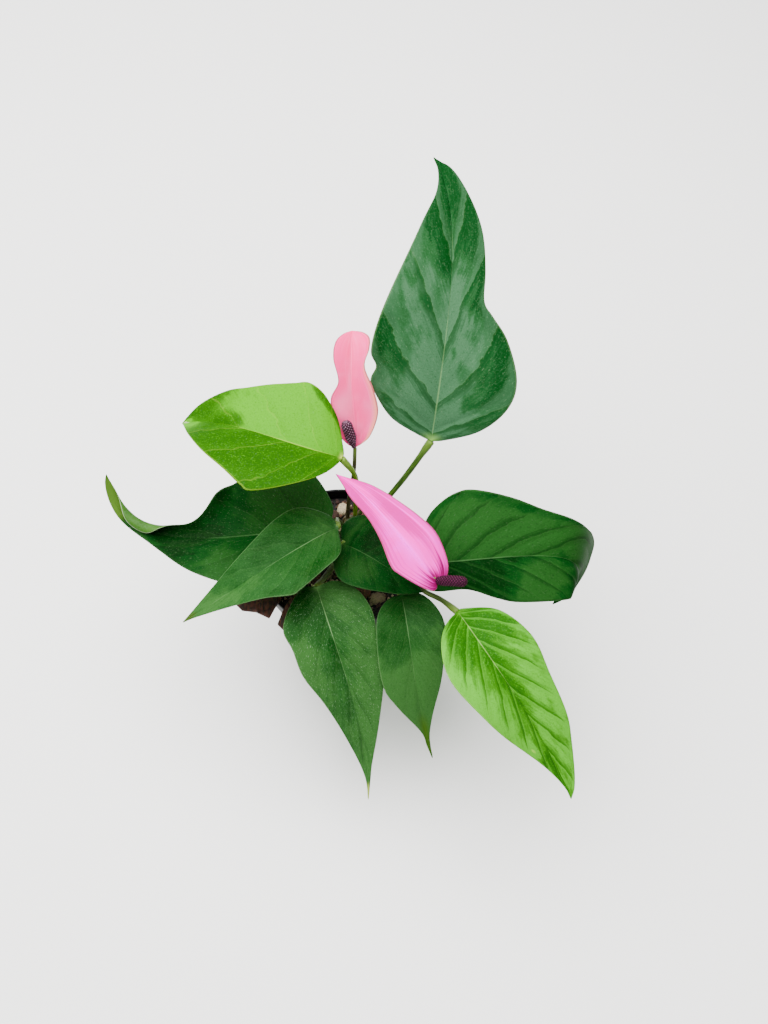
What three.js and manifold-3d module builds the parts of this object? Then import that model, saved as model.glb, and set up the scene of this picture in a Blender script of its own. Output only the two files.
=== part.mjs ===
// Potted anthurium: a young plant with nine leaves and two pink blooms in a round black nursery pot.
// Millimetres, +Z up. The origin is the middle of the flat underside of the pot, and -Y is the front.
import * as THREE from 'three';
import { mergeVertices } from 'three/addons/utils/BufferGeometryUtils.js';
import Module from 'manifold-3d';

const wasm = await Module();
wasm.setup();

// Driving dimensions of the pot and the soil
const POT_HEIGHT = 88;
const POT_RIM_RADIUS = 48;
const POT_BASE_RADIUS = 34;
const POT_WALL = 1.6;
const POT_FLOOR = 2.4;
const POT_SIDES = 44;
const COLLAR_HEIGHT = 12;
const COLLAR_STEP = 1.6;
const DRAIN_HOLES = 6;
const DRAIN_RADIUS = 3.2;
const DRAIN_CIRCLE_RADIUS = 23;
const SOIL_TOP = 83;
const SOIL_CHIPS = 60;
const SEAT_GAP = 0.3;

// The short stem that every stalk grows from stands a little behind the middle of the pot
const CROWN = { x: 8, y: 16, radius: 5.4, bottom: 66, top: 103 };

// Thickness of the leaf blades and of the pink spathes
const BLADE_THICKNESS = 0.7;
const SPATHE_THICKNESS = 0.8;
const RIB_SAMPLES = 64;
const OUTLINE_STEPS = 8;
const STATION_POWER = 1.5;
const TIP_BEND_POWER = 9;
const FLAT_CURL = 1e-5;
const LEFT_WAVE_PHASE = 1.7;
const WAVE_REACH = 30;

const GREEN_DARK = '#1f5230';
const GREEN_DEEP = '#17472b';
const GREEN_MID = '#3f7a45';
const GREEN_BRIGHT = '#67a34a';
const GREEN_LIME = '#8ebb46';
const STALK_GREEN = '#5d7a2c';
const STALK_BROWN = '#6a6233';

// Each leaf: rib gives the four control points of its midrib, from stalk to tip. left and right are
// the points of its margin on that side, as distance along the rib and distance across. fold is how
// steeply each half rises from the rib in degrees, curl how fast it bends per mm across, and lateCurl
// how much more the right half bends towards the tip, growing between the two shares of the length in
// lateShare. roll turns the whole blade about its rib, at the stalk and at the tip. wave is the height
// and the count of the margin's waves. stalk lists the points of the petiole, from inside the crown to
// the foot of the blade.
const LEAVES = [
  {
    name: 'leaf_top',
    colour: GREEN_DARK,
    rib: [[54, 39, 150], [61, 72, 200], [73, 135, 220], [61, 192, 221]],
    left: [[3, -9], [11, -25], [25, -37], [31, -39], [38, -37], [46, -41], [63, -39], [90, -31],
      [127, -18], [150, -8], [168, -4]],
    right: [[2, 8], [11, 27], [25, 40], [40, 42.5], [60, 34.5], [72, 25], [80, 19.5], [97, 19],
      [121, 17], [147, 11], [170, 4]],
    tip: [180, -4],
    wave: [1.2, 2],
    rows: 21,
    stalk: [[8, 16, 92], [19, 19, 102], [37, 28.5, 124], [54, 39, 150]],
    stalkRadius: 1.7,
  },
  {
    name: 'leaf_lime',
    colour: GREEN_LIME,
    rib: [[4, 15, 166], [-28, 12, 184], [-63, 39, 174], [-88, 48, 154]],
    left: [[2, -4], [11, -17], [22, -28], [35, -39], [40, -38], [51, -32], [70, -23], [89, -12]],
    right: [[-1, 5], [4, 22], [15, 31.5], [25, 37], [35, 39.5], [43, 36.5], [54, 31.5], [68, 25.5],
      [82, 21.5], [96, 12]],
    fold: 15,
    wave: [0.8, 2],
    stalk: [[9.5, 17.5, 96], [10.5, 18, 122], [11.5, 15.5, 141], [10, 13, 156], [4, 15, 166]],
    stalkRadius: 1.5,
  },
  {
    name: 'leaf_back_left',
    colour: GREEN_DEEP,
    rib: [[-7, 1, 112], [-48, -8, 134], [-127, -14, 90], [-133, 27, 134]],
    left: [[7, -14], [22, -29], [36, -35], [50, -34], [73, -24], [94, -11], [108, -5.5],
      [127, -3.5], [142, -2]],
    right: [[-6, 11], [-7, 21], [1, 38.5], [11, 40.5], [34, 42], [47, 39], [56, 33.5], [63, 27],
      [69, 18], [75, 12], [82, 9], [89, 9.5], [96, 12], [104, 15], [115, 14], [127, 9], [140, 3]],
    fold: 10,
    curl: -0.004,
    lateCurl: 0.3,
    lateShare: [0.36, 0.75],
    columns: 8,
    rows: 24,
    stalk: [[8, 16, 88], [2, 10, 97], [-3.5, 4.5, 105], [-7, 1, 112]],
    stalkRadius: 1.5,
  },
  {
    name: 'leaf_front_left',
    colour: GREEN_MID,
    rib: [[1, -7, 130], [-25, -30, 144], [-59, -49, 126], [-85, -53, 104]],
    left: [[3, -4], [12, -17], [25, -21], [39, -24], [44, -24], [57, -16], [77, -8], [95, -2.5]],
    right: [[-1, 8], [8, 18.5], [18, 22.4], [32, 21.4], [49, 17], [74, 10], [95, 4]],
    wave: [0.6, 2],
    stalk: [[8, 16, 92], [3, 11, 104], [0, 6, 118], [0.5, -1, 127], [1, -7, 130]],
    stalkRadius: 1.4,
  },
  {
    name: 'leaf_front',
    colour: GREEN_MID,
    rib: [[-11, -33, 108], [3, -79, 109], [17, -93, 53], [18, -131, 34]],
    left: [[0, -11], [9, -21], [23, -25.5], [37, -24], [57, -21.5], [82, -13], [107, -4.5], [118, -2]],
    right: [[-1, 8], [8, 18], [19, 25.5], [30, 24], [45, 23], [65, 16], [95, 7.5], [118, 1]],
    wave: [0.8, 2],
    stalk: [[8, 16, 83], [4, 4, 90], [-4, -16, 99], [-11, -33, 108]],
    stalkRadius: 1.6,
  },
  {
    name: 'leaf_down',
    colour: GREEN_DARK,
    rib: [[37, -36, 104], [43, -74, 107], [45, -86, 62], [55, -110, 44]],
    left: [[-2, -5], [6, -15], [20, -21], [38, -18], [55, -14], [76, -6], [88, -2]],
    right: [[2, 8], [12, 16], [31, 19], [50, 18.5], [62, 13.5], [83, 2.5], [93, 1]],
    fold: 10,
    wave: [0.5, 2],
    stalk: [[8, 16, 83], [14, 6, 90], [27, -17, 98], [37, -36, 104]],
    stalkRadius: 1.4,
  },
  {
    name: 'leaf_lower_right',
    colour: GREEN_BRIGHT,
    rib: [[67, -56, 122], [86, -96, 135], [114, -112, 86], [128, -141, 68]],
    left: [[0, -4], [12, -19], [33, -25.5], [57, -23], [82, -19], [96, -14], [117, -5]],
    right: [[5, 10], [15, 20], [28, 26], [44, 25], [68, 19], [99, 6.5], [117, 0.5]],
    wave: [0.8, 3],
    stalk: [[8, 16, 88], [16, 8, 95], [33, -14, 103], [49, -34.5, 107.5], [59, -44, 113.5],
      [67, -56, 122]],
    stalkRadius: 1.4,
  },
  {
    name: 'leaf_right',
    colour: GREEN_DARK,
    rib: [[41, -28, 126], [65, -39, 140], [168, -20, 155], [124, -36, 94]],
    left: [[0, -13], [4, -22], [11, -29], [22, -36], [31, -39], [40, -39], [61, -33], [77, -26],
      [90, -24], [99, -26], [106, -32], [110, -33], [112, -22], [117, -10], [124, -6]],
    right: [[5, 9], [10, 14], [17, 16], [32, 16], [47, 22], [58, 25], [75, 25], [90, 23], [102, 19],
      [112, 13], [122, 5]],
    up: [0.6, 0, 0.8],
    roll: [-24, -10],
    fold: 5,
    wave: [1, 3],
    rows: 20,
    stalk: [[8, 16, 92], [15, 13, 101], [29, 5, 113], [39.5, -11, 121], [41, -28, 126]],
    stalkRadius: 1.6,
  },
  {
    name: 'leaf_centre',
    colour: GREEN_DEEP,
    rib: [[4, -10, 117], [17, -21, 126], [34, -29, 118], [48, -38, 111]],
    left: [[-5, -3], [-11, -10], [-10, -17], [-3, -22], [10, -22], [23, -18], [34, -12], [45, -6]],
    right: [[0, 5], [4, 13], [14, 22], [26, 20], [42, 11.5], [49, 6]],
    fold: 10,
    wave: [0.4, 2],
    stalk: [[8, 16, 94], [7, 7, 104], [5, -2, 112], [4, -10, 117]],
    stalkRadius: 1.3,
  },
];

// Each bloom: the spathe is laid out as a leaf is. spadix gives the two ends of its axis.
const BLOOMS = [
  {
    name: 'bloom_upper',
    colour: '#f08ba6',
    rib: [[10.5, 36, 148], [9.5, 48.5, 166], [7.5, 55, 188.5], [9.5, 75.5, 201]],
    left: [[2, -4], [8, -8.5], [18, -11], [31, -12.5], [40, -7.5], [52, -10], [60, -9], [64.5, -5]],
    right: [[2, 4], [8, 10], [22, 15], [36, 13], [48, 8.5], [57, 11], [63, 11], [66, 7]],
    stalk: [[5, 19, 96], [6.3, 18.5, 118], [9.7, 27.5, 136], [10.5, 36, 148]],
    stalkColour: STALK_BROWN,
    spadix: { foot: [10, 35.6, 149.5], end: [5.5, 39.3, 168], radius: 3.1, colour: '#6a3f63' },
  },
  {
    name: 'bloom_side',
    colour: '#ee7fc0',
    rib: [[54, -52, 150], [36, -36, 162], [22, -12, 168], [1, 5, 165]],
    left: [[-3, -4], [0, -9], [14, -16], [20, -17], [33, -12], [46, -9], [61, -8], [72, -4]],
    right: [[-3, 4], [3, 11], [18, 16], [31, 15], [47, 11], [61, 7], [72, 2.5]],
    stalk: [[9, 13.5, 95], [14, 13.5, 116], [27, 0, 143], [42, -28, 154], [54, -52, 150]],
    stalkColour: STALK_GREEN,
    spadix: { foot: [55, -52.6, 151], end: [69, -59, 161], radius: 2.7, colour: '#6d1d4c' },
  },
];
const PEDUNCLE_RADIUS = 1.15;

// A seeded generator, so the soil comes out the same each time
function makeRandom(seed) {
  let state = seed;
  return (low, high) => {
    state = (state * 1664525 + 1013904223) % 4294967296;
    return low + (high - low) * (state / 4294967296);
  };
}

function toSolid(geometry) {
  const bare = geometry.clone();
  bare.deleteAttribute('normal');
  bare.deleteAttribute('uv');
  const merged = mergeVertices(bare, 1e-4);
  return new wasm.Manifold(new wasm.Mesh({
    numProp: 3,
    vertProperties: new Float32Array(merged.attributes.position.array),
    triVerts: new Uint32Array(merged.index.array),
  }));
}

function toGeometry(solid) {
  const mesh = solid.getMesh();
  const geometry = new THREE.BufferGeometry();
  geometry.setAttribute('position', new THREE.BufferAttribute(new Float32Array(mesh.vertProperties), 3));
  geometry.setIndex(new THREE.BufferAttribute(new Uint32Array(mesh.triVerts), 1));
  return geometry;
}

// What is left of a solid after the cuts, without the loose scraps
function largestPiece(solid) {
  const pieces = solid.decompose();
  pieces.sort((a, b) => b.volume() - a.volume());
  return pieces[0];
}

function indexedGeometry(points, triangles) {
  const geometry = new THREE.BufferGeometry();
  geometry.setAttribute('position', new THREE.Float32BufferAttribute(points.flatMap((p) => p.toArray()), 3));
  geometry.setIndex(triangles.flat());
  return geometry;
}

// The midrib of a blade: a cubic curve measured by its length, carried straight on past both ends
class Rib {
  constructor(controls) {
    this.curve = new THREE.CubicBezierCurve3(...controls.map((c) => new THREE.Vector3(...c)));
    this.curve.arcLengthDivisions = RIB_SAMPLES;
    this.length = this.curve.getLength();
  }

  at(distance) {
    const inside = THREE.MathUtils.clamp(distance, 0, this.length);
    const share = inside / this.length;
    const tangent = this.curve.getTangentAt(share);
    const point = this.curve.getPointAt(share).addScaledVector(tangent, distance - inside);
    return { point, tangent, share };
  }
}

// A point of a blade: along the rib, then out over the half, which rises at the fold angle and bends
// on an arc of the curl, and last up or down by the waves of the margin
function bladePoint(blade, rib, along, across) {
  const { point, tangent, share } = rib.at(along);
  const up = new THREE.Vector3(...(blade.up ?? [0, 0, 1]));
  const side = tangent.clone().cross(up).normalize();
  const lift = side.clone().cross(tangent);
  const [rollStart, rollEnd] = blade.roll ?? [0, 0];
  const roll = THREE.MathUtils.degToRad(rollStart + (rollEnd - rollStart) * share);
  const out = side.clone().multiplyScalar(Math.cos(roll)).addScaledVector(lift, Math.sin(roll));
  const normal = lift.clone().multiplyScalar(Math.cos(roll)).addScaledVector(side, -Math.sin(roll));

  const reach = Math.abs(across);
  const fold = THREE.MathUtils.degToRad(blade.fold ?? 12);
  let curl = blade.curl ?? -0.006;
  if (across > 0 && blade.lateCurl) {
    curl += blade.lateCurl * THREE.MathUtils.smoothstep(share, ...blade.lateShare);
  }
  if (Math.abs(curl) < FLAT_CURL) {
    curl = FLAT_CURL;
  }
  const outwards = (Math.sin(fold + curl * reach) - Math.sin(fold)) / curl;
  const upwards = (Math.cos(fold) - Math.cos(fold + curl * reach)) / curl;
  const [waveHeight, waveCount] = blade.wave ?? [0, 0];
  const phase = across > 0 ? 0 : LEFT_WAVE_PHASE;
  const wave = waveHeight * (reach / WAVE_REACH) ** 2 * Math.sin(2 * Math.PI * waveCount * share + phase);
  return point
    .addScaledVector(out, Math.sign(across) * outwards)
    .addScaledVector(normal, upwards + wave);
}

// A smooth margin through the given points, cut into equal lengths
function marginStations(points, count) {
  const vectors = points.map(([x, y]) => new THREE.Vector2(x, y));
  const ends = [
    vectors[0].clone().multiplyScalar(2).sub(vectors[1]),
    vectors.at(-1).clone().multiplyScalar(2).sub(vectors.at(-2)),
  ];
  const padded = [ends[0], ...vectors, ends[1]];
  const path = [];
  for (let i = 1; i < padded.length - 2; i += 1) {
    for (let step = 0; step < OUTLINE_STEPS; step += 1) {
      path.push(catmullRom(padded.slice(i - 1, i + 3), step / OUTLINE_STEPS));
    }
  }
  path.push(vectors.at(-1));
  const lengths = [0];
  for (let i = 1; i < path.length; i += 1) {
    lengths.push(lengths.at(-1) + path[i].distanceTo(path[i - 1]));
  }
  return Array.from({ length: count }, (_, station) => {
    const wanted = (lengths.at(-1) * station) / (count - 1);
    const after = Math.max(lengths.findIndex((length) => length >= wanted - 1e-9), 1);
    const part = (wanted - lengths[after - 1]) / (lengths[after] - lengths[after - 1]);
    return path[after - 1].clone().lerp(path[after], part);
  });
}

function catmullRom([a, b, c, d], t) {
  const blend = (p, q, r, s) => 0.5 * (2 * q + (r - p) * t + (2 * p - 5 * q + 4 * r - s) * t * t
    + (3 * q - p - 3 * r + s) * t * t * t);
  return new THREE.Vector2(blend(a.x, b.x, c.x, d.x), blend(a.y, b.y, c.y, d.y));
}

// A thin closed blade. Rows of points run from the left margin over the rib to the right margin, and
// slant forward as the side veins do. The first and the last row shrink to the foot and to the tip.
// A clearance makes it larger by that much all round.
function bladeGeometry(blade, thickness, clearance = 0) {
  const rib = new Rib(blade.rib);
  const rows = blade.rows ?? 17;
  const columns = blade.columns ?? 4;
  const tip = blade.tip ?? [rib.length, 0];
  const left = marginStations([[0, 0], ...blade.left, tip], rows);
  const right = marginStations([[0, 0], ...blade.right, tip], rows);

  const middle = [];
  const index = [];
  for (let row = 0; row < rows; row += 1) {
    const share = row / (rows - 1);
    const centre = new THREE.Vector2(tip[0] * share ** STATION_POWER, tip[1] * share ** TIP_BEND_POWER);
    const single = row === 0 || row === rows - 1;
    index.push([]);
    for (let column = -columns; column <= columns; column += 1) {
      if (!single || column === -columns) {
        const edge = column < 0 ? left[row] : right[row];
        const place = centre.clone().lerp(edge, Math.abs(column) / columns);
        middle.push(bladePoint(blade, rib, place.x, place.y));
      }
      index[row].push(middle.length - 1);
    }
  }

  const faces = [];
  const addFace = (a, b, c) => {
    if (a !== b && b !== c && c !== a) {
      faces.push([a, b, c]);
    }
  };
  for (let row = 0; row < rows - 1; row += 1) {
    for (let column = 0; column < 2 * columns; column += 1) {
      const [a, b] = [index[row][column], index[row][column + 1]];
      const [d, c] = [index[row + 1][column], index[row + 1][column + 1]];
      if (column < columns) {
        addFace(a, b, c);
        addFace(a, c, d);
      } else {
        addFace(a, b, d);
        addFace(b, c, d);
      }
    }
  }

  const normals = middle.map(() => new THREE.Vector3());
  for (const [a, b, c] of faces) {
    const edge = middle[b].clone().sub(middle[a]);
    const normal = edge.cross(middle[c].clone().sub(middle[a]));
    [a, b, c].forEach((corner) => normals[corner].add(normal));
  }
  normals.forEach((normal) => normal.normalize());

  const leftLoop = index.map((row) => row[0]);
  const rightLoop = index.map((row) => row[2 * columns]);
  const margin = [...leftLoop, ...rightLoop.slice(1, -1).reverse()];
  const outwards = margin.map((vertex, i) => {
    const along = middle[margin[(i + 1) % margin.length]].clone().sub(middle[margin.at(i - 1)]);
    return normals[vertex].clone().cross(along).normalize();
  });
  margin.forEach((vertex, i) => middle[vertex].addScaledVector(outwards[i], clearance));

  const half = thickness / 2 + clearance;
  const offset = (reach) => middle.map((p, i) => p.clone().addScaledVector(normals[i], reach));

  const count = middle.length;
  const triangles = [];
  for (const [a, b, c] of faces) {
    triangles.push([a, b, c], [c + count, b + count, a + count]);
  }
  for (let row = 0; row < rows - 1; row += 1) {
    const [a, b] = [leftLoop[row], leftLoop[row + 1]];
    triangles.push([a, b, b + count], [a, b + count, a + count]);
    const [c, d] = [rightLoop[row], rightLoop[row + 1]];
    triangles.push([c, c + count, d + count], [c, d + count, d]);
  }
  return indexedGeometry([...offset(half), ...offset(-half)], triangles);
}

// A round stalk along a smooth line, with both ends closed. radiusAt gives its radius for each share.
function stalkGeometry(points, radiusAt, sides, steps) {
  const curve = new THREE.CatmullRomCurve3(points.map((p) => new THREE.Vector3(...p)), false, 'centripetal');
  const frames = curve.computeFrenetFrames(steps, false);
  const vertices = [];
  const triangles = [];
  for (let step = 0; step <= steps; step += 1) {
    const centre = curve.getPointAt(step / steps);
    for (let side = 0; side < sides; side += 1) {
      const angle = (2 * Math.PI * side) / sides;
      const radius = radiusAt(step / steps, side, step);
      vertices.push(centre.clone()
        .addScaledVector(frames.normals[step], radius * Math.cos(angle))
        .addScaledVector(frames.binormals[step], radius * Math.sin(angle)));
    }
  }
  for (let step = 0; step < steps; step += 1) {
    for (let side = 0; side < sides; side += 1) {
      const next = (side + 1) % sides;
      const [a, b] = [step * sides + side, step * sides + next];
      triangles.push([a, b, b + sides], [a, b + sides, a + sides]);
    }
  }
  const [foot, end] = [vertices.length, vertices.length + 1];
  vertices.push(curve.getPointAt(0), curve.getPointAt(1));
  const last = steps * sides;
  for (let side = 0; side < sides; side += 1) {
    const next = (side + 1) % sides;
    triangles.push([foot, next, side], [end, last + side, last + next]);
  }
  return indexedGeometry(vertices, triangles);
}

// A petiole widens a little along its length and swells into a knee below the blade
function petioleRadius(radius) {
  return (share) => radius * (0.9 + 0.15 * share + 0.3 * THREE.MathUtils.smoothstep(share, 0.84, 0.95));
}

// A spadix is a blunt club whose florets stand out in a diamond lattice
const SPADIX_SIDES = 12;
const SPADIX_STEPS = 15;
function spadixGeometry({ foot, end, radius }, clearance) {
  const bend = foot.map((value, axis) => (value + end[axis]) / 2 + (axis === 2 ? 0.6 : 0));
  const profile = (share, side, step) => {
    const taper = Math.sqrt(Math.max(1 - (Math.max(share - 0.8, 0) / 0.21) ** 2, 0));
    const shoulder = 0.78 + 0.22 * Math.min(share / 0.25, 1);
    const floret = (side + step) % 2 === 0 ? 1 : 0.86;
    return radius * taper * shoulder * floret + clearance;
  };
  return stalkGeometry([foot, bend, end], profile, SPADIX_SIDES, SPADIX_STEPS);
}

// The crown is a short ringed stem with a rounded top
function crownGeometry(clearance) {
  const profile = [
    [0, CROWN.bottom - clearance],
    [CROWN.radius * 0.8 + clearance, CROWN.bottom - clearance],
    [CROWN.radius + clearance, CROWN.bottom + 5],
    [CROWN.radius + clearance, CROWN.top - 7],
    [CROWN.radius * 0.8 + clearance, CROWN.top - 2 + clearance / 2],
    [0, CROWN.top + clearance],
  ];
  return uprightLathe(profile, 14).translate(CROWN.x, CROWN.y, 0);
}

// LatheGeometry turns its profile about Y, so the result is stood up along Z
function uprightLathe(profile, sides) {
  const geometry = new THREE.LatheGeometry(profile.map(([r, z]) => new THREE.Vector2(r, z)), sides);
  return geometry.rotateX(Math.PI / 2);
}

// Radius of the outside of the pot's wall below the collar
function wallRadius(height) {
  const top = POT_HEIGHT - COLLAR_HEIGHT;
  return POT_BASE_RADIUS + ((POT_RIM_RADIUS - COLLAR_STEP - 1 - POT_BASE_RADIUS) * height) / top;
}

function potGeometry() {
  const collar = POT_HEIGHT - COLLAR_HEIGHT;
  const lip = POT_RIM_RADIUS - POT_WALL;
  const shell = toSolid(uprightLathe([
    [0, 0],
    [POT_BASE_RADIUS, 0],
    [wallRadius(collar), collar],
    [POT_RIM_RADIUS - 1, collar + 1],
    [POT_RIM_RADIUS, POT_HEIGHT - 0.6],
    [POT_RIM_RADIUS - 0.5, POT_HEIGHT],
    [lip, POT_HEIGHT],
    [lip - 1, collar + 1.5],
    [wallRadius(collar) - POT_WALL, collar - 2],
    [wallRadius(POT_FLOOR) - POT_WALL, POT_FLOOR],
    [0, POT_FLOOR],
  ], POT_SIDES));
  let pot = shell;
  for (let hole = 0; hole < DRAIN_HOLES; hole += 1) {
    const angle = (2 * Math.PI * hole) / DRAIN_HOLES;
    const drill = new THREE.CylinderGeometry(DRAIN_RADIUS, DRAIN_RADIUS, 4 * POT_FLOOR, 10)
      .rotateX(Math.PI / 2)
      .translate(DRAIN_CIRCLE_RADIUS * Math.cos(angle), DRAIN_CIRCLE_RADIUS * Math.sin(angle), 0);
    pot = pot.subtract(toSolid(drill));
  }
  return toGeometry(pot);
}

// Bark chips and pumice fused into the top of the soil, clear of the crown and of the wall
function soilGeometry() {
  const random = makeRandom(11);
  const inside = (height) => wallRadius(height) - POT_WALL - SEAT_GAP;
  let soil = toSolid(uprightLathe([
    [0, POT_FLOOR + SEAT_GAP],
    [inside(POT_FLOOR), POT_FLOOR + SEAT_GAP],
    [inside(SOIL_TOP - 6), SOIL_TOP - 6],
    [inside(SOIL_TOP - 6) - 1, SOIL_TOP - 1.5],
    [24, SOIL_TOP],
    [0, SOIL_TOP + 1],
  ], 28));
  for (let chip = 0; chip < SOIL_CHIPS; chip += 1) {
    const size = random(2.6, 5.2);
    const angle = chip * 2.4;
    const distance = 37.5 * Math.sqrt((chip + 0.5) / SOIL_CHIPS);
    const x = distance * Math.cos(angle);
    const y = distance * Math.sin(angle);
    const stretch = random(0.6, 1.25);
    const geometry = new THREE.IcosahedronGeometry(1, 0)
      .scale(size * stretch, size, size * 0.55)
      .rotateX(random(-0.4, 0.4))
      .rotateZ(random(0, Math.PI))
      .translate(x, y, SOIL_TOP + random(-0.6, 0.8));
    if (Math.hypot(x - CROWN.x, y - CROWN.y) > CROWN.radius + size + 1) {
      soil = soil.add(toSolid(geometry));
    }
  }
  return toGeometry(largestPiece(soil.subtract(toSolid(crownGeometry(SEAT_GAP)))));
}

// Two large pieces of bark lie across the rim at the front left and overhang it
const BARK_THICKNESS = 2.4;
const BARK_EDGE = 0.6;
function barkGeometry(outline) {
  const shape = new THREE.Shape(outline.map(([x, y]) => new THREE.Vector2(x, y)));
  return new THREE.ExtrudeGeometry(shape, {
    depth: BARK_THICKNESS - 2 * BARK_EDGE,
    bevelThickness: BARK_EDGE,
    bevelSize: BARK_EDGE,
    bevelOffset: -BARK_EDGE,
    bevelSegments: 1,
    steps: 1,
  }).translate(0, 0, POT_HEIGHT + SEAT_GAP + BARK_EDGE);
}
const BARK_FLAKE = [
  [-31, -27], [-40, -23], [-52, -29], [-59, -34], [-55, -38], [-47, -39], [-39, -43], [-36, -36],
];
const BARK_SPLINTER = [
  [-24, -23], [-18, -24.5], [-22, -33], [-26, -41], [-30, -51], [-34, -47], [-31, -37], [-27, -29],
];

const plant = new THREE.Group();

function addPiece(name, geometry, colour, roughness) {
  const bare = geometry.clone();
  bare.deleteAttribute('uv');
  bare.deleteAttribute('normal');
  const clean = mergeVertices(bare, 1e-4);
  clean.computeVertexNormals();
  const material = new THREE.MeshStandardMaterial({ color: colour, roughness, metalness: 0 });
  const mesh = new THREE.Mesh(clean, material);
  mesh.name = name;
  plant.add(mesh);
}

addPiece('pot', potGeometry(), '#1b1b1c', 0.5);
addPiece('soil', soilGeometry(), '#4a3a2e', 0.95);
addPiece('crown', crownGeometry(0), '#6b6a3c', 0.7);
addPiece('bark_flake', barkGeometry(BARK_FLAKE), '#4b2a1d', 0.9);
addPiece('bark_splinter', barkGeometry(BARK_SPLINTER), '#552f20', 0.9);

// A stalk is cut back to leave the seat gap at the crown it grows from and at the blade it carries
function addStalk(name, geometry, blade, thickness, colour) {
  const seat = toSolid(crownGeometry(SEAT_GAP));
  const foot = toSolid(bladeGeometry(blade, thickness, SEAT_GAP));
  const stalk = largestPiece(toSolid(geometry).subtract(seat).subtract(foot));
  addPiece(name, toGeometry(stalk), colour, 0.5);
  return stalk;
}

for (const leaf of LEAVES) {
  addPiece(`${leaf.name}_blade`, bladeGeometry(leaf, BLADE_THICKNESS), leaf.colour, 0.4);
  const petiole = stalkGeometry(leaf.stalk, petioleRadius(leaf.stalkRadius), 8, 14);
  addStalk(`${leaf.name}_petiole`, petiole, leaf, BLADE_THICKNESS, STALK_GREEN);
}

for (const bloom of BLOOMS) {
  const spathe = { ...bloom, fold: 25, curl: -0.01, rows: 16 };
  addPiece(`${bloom.name}_spathe`, bladeGeometry(spathe, SPATHE_THICKNESS), bloom.colour, 0.45);
  const slim = (clearance) => () => PEDUNCLE_RADIUS + clearance;
  const peduncle = stalkGeometry(bloom.stalk, slim(0), 8, 18);
  addStalk(`${bloom.name}_peduncle`, peduncle, spathe, SPATHE_THICKNESS, bloom.stalkColour);

  const clear = [
    bladeGeometry(spathe, SPATHE_THICKNESS, SEAT_GAP),
    stalkGeometry(bloom.stalk, slim(SEAT_GAP), 8, 18),
  ].map(toSolid);
  const spadix = clear.reduce((solid, cut) => solid.subtract(cut), toSolid(spadixGeometry(bloom.spadix, 0)));
  addPiece(`${bloom.name}_spadix`, toGeometry(largestPiece(spadix)), bloom.spadix.colour, 0.6);
}

export default plant;
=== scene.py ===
"""A young potted anthurium with two pink blooms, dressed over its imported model.

Sizes in the tables and constants are in millimetres unless a comment says otherwise, in the frame
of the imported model: the origin is the middle of the pot's flat underside, +Z is up and -Y is the
front.
"""
import math

import bmesh
import bpy
import numpy as np
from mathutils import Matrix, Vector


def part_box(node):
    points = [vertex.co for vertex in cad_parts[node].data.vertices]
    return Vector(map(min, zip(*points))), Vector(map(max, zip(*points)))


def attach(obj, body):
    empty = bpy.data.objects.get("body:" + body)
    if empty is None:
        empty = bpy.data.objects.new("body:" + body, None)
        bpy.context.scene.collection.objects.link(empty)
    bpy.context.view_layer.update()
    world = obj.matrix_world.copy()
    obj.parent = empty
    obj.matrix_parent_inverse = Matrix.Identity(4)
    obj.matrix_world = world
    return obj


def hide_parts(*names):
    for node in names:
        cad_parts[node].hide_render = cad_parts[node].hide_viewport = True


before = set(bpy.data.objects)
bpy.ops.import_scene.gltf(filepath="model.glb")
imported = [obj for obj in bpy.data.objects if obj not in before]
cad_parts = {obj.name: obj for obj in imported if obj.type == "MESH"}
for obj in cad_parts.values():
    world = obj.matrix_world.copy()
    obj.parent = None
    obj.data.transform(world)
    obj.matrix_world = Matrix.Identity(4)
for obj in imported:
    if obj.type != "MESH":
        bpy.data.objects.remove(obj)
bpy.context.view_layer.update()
_, POT_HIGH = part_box("pot")

bl_info = {
    "name": "Potted anthurium",
    "version": (1, 0, 0),
    "blender": (4, 5, 0),
    "location": "View3D > Sidebar > Anthurium",
    "description": "Builds a young potted anthurium with its leaves, blooms, soil and pot",
    "category": "Add Mesh",
}

MM = 0.001

# Each leaf finish: its deeper green, which is also its painted shade, its lighter grey-green, which is
# a painted sheen standing in for the gleam of its wax, its veins and its underside. Its main green is
# one of the settings.
GREENS = {
    "leaf_dark": ("#022c08", "#33563a", "#5f8350", "#3f6a22"),
    "leaf_deep": ("#011a02", "#173d14", "#3f6238", "#2f5614"),
    "leaf_mid": ("#042c04", "#2d5424", "#648756", "#437a26"),
    "leaf_bright": ("#164a02", "#4c9620", "#8cb455", "#558f28"),
    "leaf_lime": ("#184402", "#468b03", "#8cb02c", "#5f8a2c"),
}
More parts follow.
